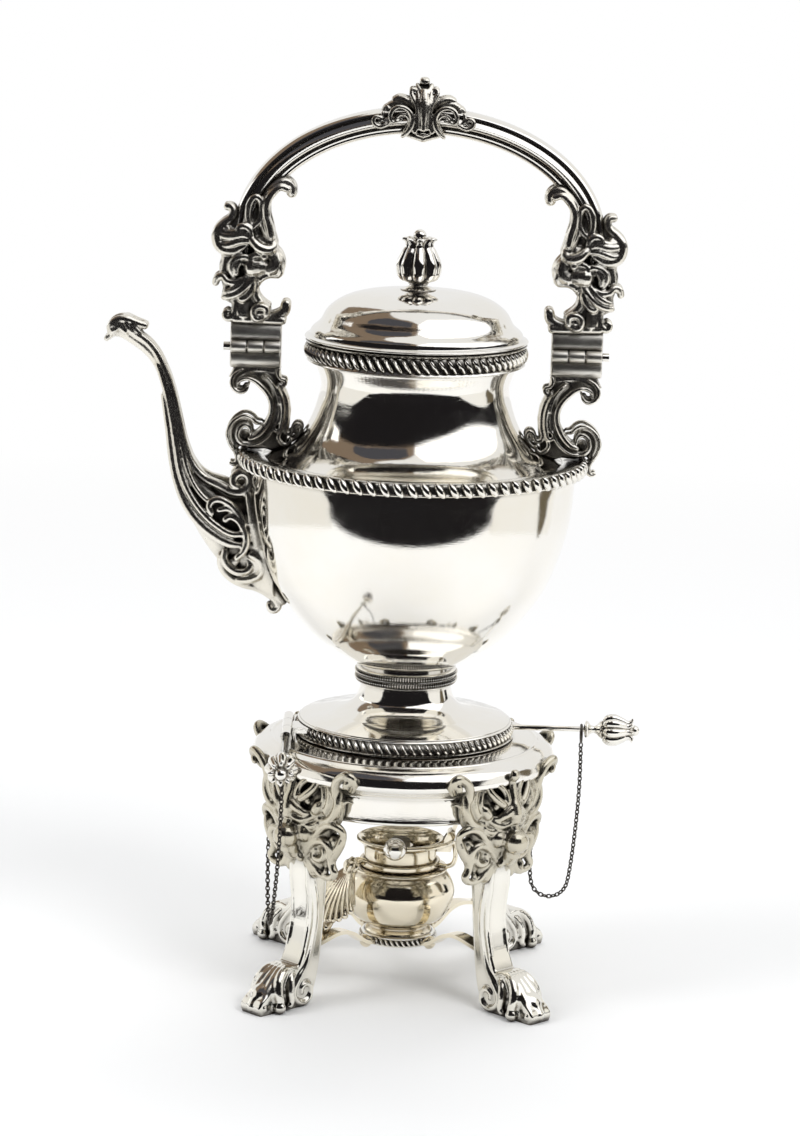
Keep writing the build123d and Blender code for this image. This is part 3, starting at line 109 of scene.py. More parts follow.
def joined(name, pieces):
    pick(*pieces)
    if len(pieces) > 1:
        bpy.ops.object.join()
    piece = bpy.context.object
    piece.name = name
    return piece


def smooth(piece, angle=40):
    pick(piece)
    bpy.ops.object.shade_smooth_by_angle(angle=math.radians(angle))
    return piece


def bend(points, cuts=5):
    line = []
    for i in range(len(points) - 1):
        before = points[max(i - 1, 0)]
        after = points[min(i + 2, len(points) - 1)]
        for step in range(cuts):
            t = step / cuts
            line.append(tuple(
                0.5 * (2 * b + (c - a) * t + (2 * a - 5 * b + 4 * c - d) * t ** 2
                       + (3 * b - a - 3 * c + d) * t ** 3)
                for a, b, c, d in zip(before, points[i], points[i + 1], after)))
    return line + [tuple(points[-1])]


def inset(line, gap):
    moved = []
    for i, (x, y) in enumerate(line):
        a, b = line[max(i - 1, 0)], line[min(i + 1, len(line) - 1)]
        runX, runY = b[0] - a[0], b[1] - a[1]
        run = math.hypot(runX, runY)
        moved.append((x - gap * runY / run, y + gap * runX / run))
    return moved


def turned(name, outline, steps=144, edge=0.3, cuts=2):
    clearAll()
    bpy.ops.mesh.primitive_plane_add(size=1)
    piece = bpy.context.object
    piece.name = name
    bpy.ops.object.mode_set(mode="EDIT")
    bpy.ops.mesh.select_all(action="SELECT")
    bpy.ops.mesh.merge(type="CENTER")
    bpy.ops.transform.translate(value=(outline[0][0], 0, outline[0][1]))
    for (r0, z0), (r1, z1) in zip(outline, outline[1:]):
        bpy.ops.mesh.extrude_region_move(TRANSFORM_OT_translate={"value": (r1 - r0, 0, z1 - z0)})
    bpy.ops.mesh.select_all(action="SELECT")
    bpy.ops.mesh.spin(steps=steps, angle=math.tau, center=(0, 0, 0), axis=(0, 0, 1))
    bpy.ops.object.mode_set(mode="OBJECT")
    cleaned(piece, 0.004)
    if edge:
        modify(piece, "BEVEL", width=edge, segments=cuts, limit_method="ANGLE", angle_limit=math.radians(32))
    return smooth(piece)


def ball(center, size, turn=(0, 0, 0), segments=16, rings=10):
    clearAll()
    bpy.ops.mesh.primitive_uv_sphere_add(segments=segments, ring_count=rings, radius=1, location=center,
                                         rotation=[math.radians(a) for a in turn])
    piece = bpy.context.object
    piece.scale = (size, size, size) if isinstance(size, (int, float)) else size
    return applyPlace(piece)


def strand(points, sides=3, flow=5):
    clearAll()
    bpy.ops.curve.primitive_bezier_curve_add(radius=1)
    curve = bpy.context.object
    curve.data.dimensions = "3D"
    curve.data.bevel_depth = 1
    curve.data.bevel_resolution = sides
    curve.data.use_fill_caps = True
    curve.data.resolution_u = flow
    spline = curve.data.splines[0]
    spline.bezier_points.add(len(points) - 2)
    for spot, (x, y, z, r) in zip(spline.bezier_points, points):
        spot.co = (x, y, z)
        spot.radius = r
        spot.handle_left_type = spot.handle_right_type = "AUTO"
    return applyPlace(cleaned(meshed(curve), 0.003))


def reaching(piece, axis, keep, reach):
    far = max((corner[axis] for corner in piece.bound_box), key=lambda value: abs(value - keep))
    start, grow = Vector((0, 0, 0)), [1, 1, 1]
    start[axis], grow[axis] = keep, (reach - keep) / (far - keep)
    piece.matrix_world = (Matrix.Translation(start) @ Matrix.Diagonal((*grow, 1)) @ Matrix.Translation(-start)
                          @ piece.matrix_world)
    return applyPlace(piece)


def copied(piece, place):
    pick(piece)
    bpy.ops.object.duplicate()
    twin = bpy.context.object
    twin.matrix_world = place @ twin.matrix_world
    return applyPlace(twin)


def mirrored(piece, axis="x"):
    return cleaned(copied(piece, Matrix.Scale(-1, 4, (1, 0, 0) if axis == "x" else (0, 1, 0))))


def finishBothSides(right, body, material, slot, node):
    left = mirrored(right)
    left.name = right.name.replace("Right", "Left")
    finishPiece(right, body, material, slot, node + "_right")
    finishPiece(left, body, material, slot, node + "_left")


def turn(angle, axis="Z"):
    return Matrix.Rotation(math.radians(angle), 4, axis)


def ringOf(piece, count):
    clearAll()
    bpy.ops.object.empty_add(location=(0, 0, 0), rotation=(0, 0, math.tau / count))
    guide = bpy.context.object
    modify(piece, "ARRAY", count=count, use_relative_offset=False, use_object_offset=True,
           offset_object=guide)
    bpy.data.objects.remove(guide)
    return piece


def cast(name, bits, voxel=0.5, soften=2, most=90000):
    piece = joined(name, bits)
    modify(piece, "REMESH", mode="VOXEL", voxel_size=voxel, use_smooth_shade=True)
    if soften:
        modify(piece, "SMOOTH", factor=0.5, iterations=soften)
    faces = 2 * len(piece.data.polygons)
    if faces > most:
        modify(piece, "DECIMATE", ratio=most / faces)
    pick(piece)
    bpy.ops.object.shade_smooth()
    return piece


def finishPiece(piece, body, material, slot, *stands):
    piece.scale = [bench["scale"] * s for s in piece.scale]
    piece.location = bench["axis"]
    applyPlace(piece)
    piece.data.materials.clear()
    piece.data.materials.append(material)
    if body:
        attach(piece, body)
    if stands:
        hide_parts(*stands)
    print("made", piece.name, len(piece.data.polygons), flush=True)
    return piece


# Finishes

class Wire:
    def __init__(self, finish, socket):
        self.finish, self.socket = finish, socket

    def maths(self, how, other):
        return self.finish.node("ShaderNodeMath", {"operation": how}, {0: self, 1: other})

    def __add__(self, other):
        return self.maths("ADD", other)

    def __mul__(self, other):
        return self.maths("MULTIPLY", other)


class Finish:
    def __init__(self, owner):
        owner.use_nodes = True
        self.owner, self.tree = owner, owner.node_tree
        self.tree.nodes.clear()

    @cached_property
    def place(self):
        return self.node("ShaderNodeTexCoord", out="Object")

    def node(self, kind, settings=None, values=None, out=0):
        made = self.tree.nodes.new(kind)
        for key, value in (settings or {}).items():
            setattr(made, key, value)
        for key, value in (values or {}).items():
            if isinstance(value, Wire):
                self.tree.links.new(value.socket, made.inputs[key])
            else:
                made.inputs[key].default_value = value
        return Wire(self, made.outputs[out])

    def noise(self, scale, detail, rough=0.55):
        return self.node("ShaderNodeTexNoise", {}, {"Vector": self.place, "Scale": scale, "Detail": detail,
                                                    "Roughness": rough})

    def ranged(self, value, low, high, toLow=0.0, toHigh=1.0):
        return self.node("ShaderNodeMapRange", {"clamp": True}, {
            "Value": value, "From Min": low, "From Max": high, "To Min": toLow, "To Max": toHigh})

    def blend(self, share, *colours):
        first, second = (c if isinstance(c, Wire) else (*c, 1) for c in colours)
        return self.node("ShaderNodeMix", {"data_type": "RGBA"}, {0: share, 6: first, 7: second}, 2)

    def bump(self, height, strength, distance, **under):
        return self.node("ShaderNodeBump", {}, {"Height": height, "Strength": strength, "Distance": distance,
                                                **under})

    def surface(self, **values):
        named = {key.replace("_", " "): value for key, value in values.items()}
        return self.node("ShaderNodeBsdfPrincipled", {}, named)

    def output(self, shader, kind="ShaderNodeOutputMaterial"):
        end = self.tree.nodes.new(kind)
        self.tree.links.new(shader.socket, end.inputs["Surface"])
        return self.owner


def newFinish(name):
    return Finish(bpy.data.materials.new(name))


# scales of the silver's unevenness, and how deep it goes in metres
grain = {"cloud": 22, "wear": 160, "dents": 14, "dentDepth": 0.004, "brushed": (300, 300, 2600),
         "brushDepth": 0.0003}


def silverFinish(name, bright, dark, recess=0.0025, depth=0.0, rough=(0.05, 0.12), wavy=0.15, fine=0.05):
    finish = newFinish(name)
    warmer = [share * part for share, part in zip((0.97, 0.95, 0.9), bright)]
    tint = finish.blend(finish.ranged(finish.noise(grain["cloud"], 5, 0.6), 0.35, 0.75), bright, warmer)
    # Base colour darkens toward the dark tone in hollows and where parts meet, found by ambient occlusion.
    # This is partly the tarnish old silver keeps in its recesses and partly painted shade for the shadow that
    # falls there.
    hollow = finish.node("ShaderNodeAmbientOcclusion", {"samples": 6}, {"Distance": recess}, "AO")
    hollowTarnishAndShade = finish.ranged(hollow, 0.95, 0.4) * depth
    roughness = finish.ranged(finish.noise(grain["wear"], 3, 0.6), 0.3, 0.75, *rough) + hollowTarnishAndShade * 0.25
    dents = finish.bump(finish.noise(grain["dents"], 2, 0.4), wavy, grain["dentDepth"])
    brushed = finish.node("ShaderNodeMapping", {}, {"Vector": finish.place, "Scale": grain["brushed"]})
    scratch = finish.node("ShaderNodeTexNoise", {}, {"Vector": brushed, "Scale": 1.0, "Detail": 3})
    relief = finish.bump(scratch, fine, grain["brushDepth"], Normal=dents)
    return finish.output(finish.surface(Base_Color=finish.blend(hollowTarnishAndShade, tint, dark), Metallic=1.0,
                                        Roughness=roughness, Normal=relief))


# Each finish's dark tone and depth set how far the painted shade and tarnish darken it in hollows and between
# lobes.
polished = silverFinish("polishedSilver", (0.93, 0.91, 0.865), (0.2, 0.17, 0.13), depth=0.5)
satinSilver = silverFinish("satinSilver", (0.93, 0.91, 0.865), (0.3, 0.26, 0.2), depth=0.3,
                           rough=(0.09, 0.14))
bandSilver = silverFinish("gadroonSilver", (0.92, 0.9, 0.85), (0.07, 0.055, 0.04), recess=0.0018, depth=1.0,
                          rough=(0.08, 0.18), wavy=0.0)
castSilver = silverFinish("castSilver", (0.84, 0.81, 0.74), (0.045, 0.038, 0.03), recess=0.005, depth=1.0,
                          rough=(0.17, 0.28), wavy=0.05, fine=0.1)
frostedSilver = silverFinish("maskSilver", (0.63, 0.59, 0.49), (0.03, 0.027, 0.022), recess=0.0075, depth=1.0,
                             rough=(0.15, 0.25), wavy=0.05, fine=0.15)
legSilver = silverFinish("legSilver", (0.9, 0.88, 0.82), (0.05, 0.04, 0.03), recess=0.005, depth=1.0,
                         rough=(0.07, 0.14), wavy=0.1)
burnerSilver = silverFinish("burnerSilver", (0.9, 0.83, 0.68), (0.25, 0.18, 0.1), recess=0.004, depth=0.7,
                            rough=(0.07, 0.16))
chainSilver = silverFinish("chainSilver", (0.1, 0.09, 0.08), (0.015, 0.012, 0.01), recess=0.001, depth=0.8,
                           rough=(0.28, 0.45), wavy=0.0)

cotton = newFinish("wickCotton")
charred = {"from": 0.066, "to": 0.0695, "tone": (0.1, 0.08, 0.06)}
weave = cotton.node("ShaderNodeTexWave", {"bands_direction": "Z"}, {
    "Vector": cotton.place, "Scale": 900.0, "Distortion": 3.0, "Detail": 2.0})
upTheWick = cotton.node("ShaderNodeSeparateXYZ", {}, {"Vector": cotton.place}, "Z")
char = cotton.ranged(upTheWick, charred["from"], charred["to"])
threads = cotton.blend(weave, (0.62, 0.56, 0.45), (0.85, 0.81, 0.7))
wickCotton = cotton.output(cotton.surface(Base_Color=cotton.blend(char * 0.75, threads, charred["tone"]),
                                          Roughness=0.9, Normal=cotton.bump(weave, 0.6, 0.0006)))
print("finishes ready", flush=True)


# Chains: route control points as in the part, from pin ring to apron eye

chainLinks = {"pitch": 2.05, "width": 1.28, "wire": 0.38, "tilt": 42, "sides": (10, 5)}
chainRoutes = {
    "hingeSafetyChain": {
        "node": "hinge_chain",
        "pin": "hinge_pin",
        "points": [
            (-55.5, -83, 120.4), (-55.6, -83.2, 107), (-56, -82, 91), (-56.8, -79, 75), (-58, -74, 60),
            (-59.2, -66.5, 47.5), (-60.3, -57, 40.5), (-61.3, -46.5, 39.5), (-62.1, -36.8, 44),
            (-62.8, -28.5, 52), (-63.1, -21.5, 62), (-63.2, -16, 73), (-62.6, -12.2, 81.5), (-61.9, -11, 88)],
    },
    "lockSafetyChain": {
        "node": "lock_chain",
        "pin": "lock_pin",
        "points": [
            (85, 0, 119.1), (85.2, -0.5, 107), (84.9, -1.2, 92.5), (84, -1.8, 78), (82.8, -2.2, 64),
            (81.3, -2.4, 52), (80, -2.4, 47.4), (76.7, -2.4, 44), (72.1, -2.3, 42.8), (67.5, -2.2, 44),
            (64.2, -2, 47.4), (62.9, -1.7, 52.5), (62.7, -1.2, 61), (62.7, -0.6, 75), (62.9, 0, 88)],
    },
}


def routeLine(points):
    holder = drawn(points, kind="NURBS")
    holder.data.resolution_u = 24
    holder.data.splines[0].order_u = 3
    holder.data.splines[0].use_endpoint_u = True
    route = meshed(holder)
    line = [v.co.copy() for v in route.data.vertices]
    bpy.data.objects.remove(route)
    return line


def walk(line, step):
    spots, left = [], step / 2
    for a, b in zip(line, line[1:]):
        run = (b - a).length
        while left <= run:
            spots.append((a.lerp(b, left / run), (b - a).normalized()))
            left += step
        left -= run
    return spots


for name, chain in chainRoutes.items():
    line = routeLine(chain["points"])
    clearAll()
    around, across = chainLinks["sides"]
    bpy.ops.mesh.primitive_torus_add(major_radius=1.0, minor_radius=chainLinks["wire"], major_segments=around,
                                     minor_segments=across)
    link = bpy.context.object
    link.scale = (1.25, chainLinks["width"] - chainLinks["wire"], 1)  # long way along X
    applyPlace(link)
    links = []
    for i, (spot, way) in enumerate(walk(line, chainLinks["pitch"])):
        side = way.cross((0.3, 1, 0.1)).normalized()
        frame3 = Matrix((way, side, way.cross(side))).transposed().to_4x4()
        roll = turn(chainLinks["tilt"] if i % 2 else -chainLinks["tilt"], "X")
        links.append(copied(link, Matrix.Translation(spot) @ frame3 @ roll))
    bpy.data.objects.remove(link)
    piece = joined(name, links)
    finishPiece(smooth(piece, 60), None, chainSilver, "dark_silver", chain["node"])
    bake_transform(piece)
print("chains hung", flush=True)


# Bowl, neck and foot of the kettle

def vessel(name, shape, **how):
    line = bend(shape["line"], 6)
    inside = inset(line, shape["wall"])[::-1]
    return turned(name, shape["under"] + line + shape["rim"] + inside + shape["close"], **how)


bowl = {"wall": 1.6, "under": [(0, 157)], "rim": [(77, 254), (75.4, 254)], "close": [(0, 158.6)], "line": [
    (25, 157), (37, 164.5), (49, 174), (62.9, 192), (70, 208), (75.2, 227), (77, 246)]}
finishPiece(vessel("kettleBowl", bowl), "kettle", polished, "silver", "kettle_bowl")

neck = {"wall": 1.6, "under": [], "rim": [(48, 311.5), (46.4, 311.5)], "close": [(77, 254)], "line": [
    (77, 254), (64, 258), (55, 263.5), (49.6, 272), (46.2, 281.5), (44.5, 291), (48, 301)]}
finishPiece(vessel("kettleNeck", neck), "kettle", polished, "silver", "kettle_neck")

foot = {"wall": 1.4, "under": [(50.2, 121.8), (50.2, 129.8)], "rim": [(21.5, 157), (20.1, 157)],
        "close": [(48.8, 128.4), (48.8, 121.8), (50.2, 121.8)], "line": [
            (35, 132.5), (27.5, 135.5), (23.2, 140), (21.5, 146)]}
finishPiece(vessel("kettleFoot", foot), "kettle", polished, "silver", "kettle_foot")
print("kettle turned", flush=True)


# Gadrooned bands: one slanted lobe, repeated round a turned rail

bands = {
    "shoulderGadroon": {"node": "shoulder_band", "count": 80, "radius": 80.6, "z": 254.0, "lean": 34,
                        "lobe": (2.75, 1.95, 4.1), "rail": [
        (76.8, 250.8), (80.2, 250.8), (81, 251.4), (80.4, 252.2), (80, 254), (80.2, 256.2), (80.8, 256.9),
        (80, 257.4), (72, 256.6), (70.5, 255.8), (77.2, 253.8), (76.8, 250.8)]},
    "neckGadroon": {"node": "neck_band", "count": 76, "radius": 50.4, "z": 306.2, "lean": 34,
                    "lobe": (2.6, 1.25, 4.3), "rail": [
        (47.9, 301), (49.8, 301), (51.6, 301.6), (51.2, 302.6), (50.4, 303.2), (50.4, 309.6), (51.8, 310.2),
        (52.4, 310.9), (51.6, 311.5), (47.9, 311.5), (47.9, 301)]},
    "footGadroon": {"node": "foot_band", "count": 84, "radius": 50.5, "z": 125.5, "lean": 34,
                    "lobe": (2.05, 1.15, 3.5), "rail": [
        (49.9, 121.8), (51.8, 121.8), (52.4, 122.4), (51.4, 123), (50.6, 123.4), (50.6, 128), (51.3, 128.6),
        (50.9, 129.2), (49.9, 129.4), (49.9, 121.8)]},
}


def gadroonLobes(band):
    lobe = ball((0, 0, 0), band["lobe"], segments=9, rings=7)
    lobe.matrix_world = Matrix.Translation((band["radius"], 0, band["z"])) @ turn(band["lean"], "X")
    return ringOf(applyPlace(lobe), band["count"])


for name, band in bands.items():
    rail = turned(name + "Rail", band["rail"], edge=0.15, cuts=1)
    whole = joined(name, [rail, gadroonLobes(band)])
    finishPiece(smooth(whole, 60), "kettle", bandSilver, "silver", band["node"])

# reeded double collar of the stem
collar = {"reeds": 120, "radius": 23.7, "rows": (149.6, 152.6), "reed": (0.95, 0.5, 1.35), "rail": [
    (21.4, 147.5), (23.4, 147.5), (24, 148), (23.6, 148.3), (23.6, 150.8), (23.9, 151.1), (23.6, 151.4),
    (23.6, 153.8), (24, 154.1), (23.4, 154.5), (21.4, 154.5), (21.4, 147.5)]}
reeds = [ringOf(ball((collar["radius"], 0, z), collar["reed"], segments=8, rings=6), collar["reeds"])
         for z in collar["rows"]]
collarRing = joined("footCollar", [turned("collarRail", collar["rail"], edge=0.1, cuts=1), *reeds])
finishPiece(smooth(collarRing, 60), "kettle", bandSilver, "silver", "foot_collar")
print("bands set", flush=True)


# Lid and finial

lid = {"wall": 1.4, "under": [(46, 311.8), (51.8, 311.8), (52.7, 312.3), (52.7, 312.9), (51.9, 313.3)],
       "rim": [(0, 335.5), (0, 334.1)], "close": [(46, 311.8)], "line": [
           (50.5, 313.8), (49.4, 316.6), (45.6, 320), (42, 326), (35, 331), (25, 334), (9, 335.5)]}
finishPiece(vessel("lidDome", lid), "lid", polished, "silver", "lid")

stemProfile = [(0, 330.6), (1.7, 330.6), (1.7, 335.5), (8.2, 335.5), (8.4, 336), (6.8, 336.7), (4.6, 337.2),
               (4.2, 337.9), (4.9, 338.3), (4.9, 338.9), (3.2, 339.3), (3, 339.9), (4.4, 340.3), (4.4, 340.8),
               (0, 340.8)]
finishPiece(turned("finialStem", stemProfile, steps=48, edge=0.15), "lid", polished, "silver", "finial_stem")


budShape = {  # shares of the radius and the length, and a petal's thickness as a share of the radius
    "core": [(0.4, 0), (0.72, 0.16), (0.8, 0.36), (0.62, 0.62), (0.4, 0.86)],
    "neck": [(0.3, 0.98), (0, 1)],
    "petal": [(0.34, 0, 0.15), (0.64, 0.08, 0.29), (0.72, 0.3, 0.33), (0.56, 0.6, 0.27), (0.44, 0.8, 0.21),
              (0.58, 0.94, 0.14), (0.78, 0.97, 0.05)],
    "disc": [(0, 0), (0.5, 0), (0.5, 0.05), (0, 0.05)],
}


def bud(name, radius, length, petals, tip):
    def sized(points):
        return [(out * radius, up * length) for out, up in points]

    core = turned(name + "Core", bend(sized(budShape["core"]), 4) + sized(budShape["neck"]), steps=32, edge=0)
    petal = strand([(out * radius, 0, up * length, thick * radius) for out, up, thick in budShape["petal"]])
    crown = ball((0, 0, length + 0.25 * tip), tip, segments=20, rings=12)
    disc = turned(name + "Disc", sized(budShape["disc"]), steps=32, edge=0.1)
    return joined(name, [core, ringOf(petal, petals), crown, disc])


finialBud = bud("lidFinial", radius=10.4, length=19.2, petals=8, tip=3.2)
finialBud.location.z = stemProfile[-1][1]
finishPiece(smooth(applyPlace(finialBud), 50), "lid", polished, "silver", "lid_finial")
print("lid done", flush=True)


# Top ring and apron of the stand

ringLine = ([(43, 121.5), (52.8, 121.5), (58.5, 120.9), (62.6, 120.1), (63.2, 120.5), (64, 120.4),
             (64.5, 119.8)]
            + bend([(64.9, 119.7), (68.4, 118.5), (71.2, 116), (72.5, 112.8), (72.3, 110.6),
                    (71.2, 109.2)], 5)
            + [(69.8, 108.6), (69.4, 107.9)] + bend([(68.2, 107.4), (66.6, 106.2), (65.9, 104.8)], 4))
ringInside = [(61.8, 104.8), (62.4, 112), (64.5, 116.2), (55, 119), (43, 119), (43, 121.5)]
finishPiece(turned("standRing", ringLine + ringInside), "stand", satinSilver, "silver", "stand_ring")

apronLine = [(61.8, 92), (63.6, 92), (64.3, 92.6), (64.3, 93.6), (63.9, 94.2), (64, 107.6), (64.4, 108.2),
             (64.6, 109.5), (61.8, 109.5), (61.8, 92)]
finishPiece(turned("standApron", apronLine), "stand", polished, "silver", "stand_apron")
print("stand ring done", flush=True)


# Spirit burner

pot = {"wall": 1.2, "close": [(0, 28.8)], "line": [(14.4, 27.6), (22.5, 32.5), (26.7, 43), (25, 50),
                                                   (21.9, 54.4)],
       "under": [(0, 26.6), (12.6, 26.6), (13.4, 23.1), (16, 23.1), (16.2, 24.2), (15.4, 25.4), (14.2, 26.4)],
       "rim": [(22.5, 54.6), (23.2, 55.1), (22.9, 56), (16.3, 56), (16.3, 54.8)]}
finishPiece(vessel("burnerPot", pot, steps=96), "burner", burnerSilver, "burner_metal", "burner_pot")

throatFlare = bend([(17.6, 63.6), (18, 65.6), (19, 67.4), (20.6, 68.4), (21.3, 69.3), (20.6, 70.1),
                    (19.4, 69.7), (18.2, 68.2), (17.2, 66.2), (16.6, 64.2)], 3)
throat = turned("burnerThroat", [(16.3, 56), (17.5, 56), (17.5, 63), *throatFlare, (16.3, 63), (16.3, 56)],
                steps=96, edge=0.15)
finishPiece(throat, "burner", burnerSilver, "burner_metal", "burner_throat")

wickBody = turned("wickCottonCore", [(0, 30), (4.6, 30), (4.6, 68.6), (3.6, 69.5), (0, 69.5)], steps=40)
finishPiece(wickBody, "burner", wickCotton, "wick_cotton", "wick")

support = {"count": 44, "radius": 17.4, "z": 21.4, "lobe": (1.7, 0.85, 2.5), "lean": 36, "rail": [
    (11, 19), (16.4, 19), (17.8, 19.4), (18.4, 20.2), (17.4, 20.6), (17, 21.4), (17.2, 22.6), (18, 23),
    (18, 23.8), (17, 24), (16.3, 24), (16.3, 22.8), (11, 22.8), (11, 19)]}
supportRail = turned("supportRail", support["rail"], steps=96, edge=0.15)
supportRing = joined("burnerSupportRing", [supportRail, gadroonLobes(support)])
finishPiece(smooth(supportRing, 60), "stand", bandSilver, "silver", "burner_support_ring")
print("burner turned", flush=True)


# Cast ornament: beaten strands and balls, melted into one casting

def flatOn(x, w, z):
    return (x, -w, z)


# every strand is a row of (across, proud, height, thickness) in millimetres, and a very short one is a ball
def laid(strands, extra, onto=flatOn):
    bits = []
    for row in strands:
        places = [(*onto(x, w, z), r + extra) for x, w, z, r in row]
        (*first, r), (*last, rLast) = places[0], places[-1]
        if sum(math.dist(a[:3], b[:3]) for a, b in zip(places, places[1:])) < 1.0:
            bits.append(ball(first, r, segments=14, rings=9))
        else:
            bits += [strand(places, flow=4), ball(first, 0.98 * r, segments=10, rings=7),
                     ball(last, 0.98 * rLast, segments=10, rings=7)]
    return bits


def bothFaces(bits):
    front = joined("front", bits)
    return [front, mirrored(front, "y")]


def slab(outline, half, edge):
    holder = drawn(outline, closed=True, flat=True)
    curve = holder.data
    curve.fill_mode = "BOTH"
    curve.extrude = half - edge
    curve.bevel_depth = edge
    curve.bevel_resolution = 2
    piece = cleaned(meshed(holder), 0.003)
    piece.matrix_world = turn(90, "X")
    return applyPlace(piece)


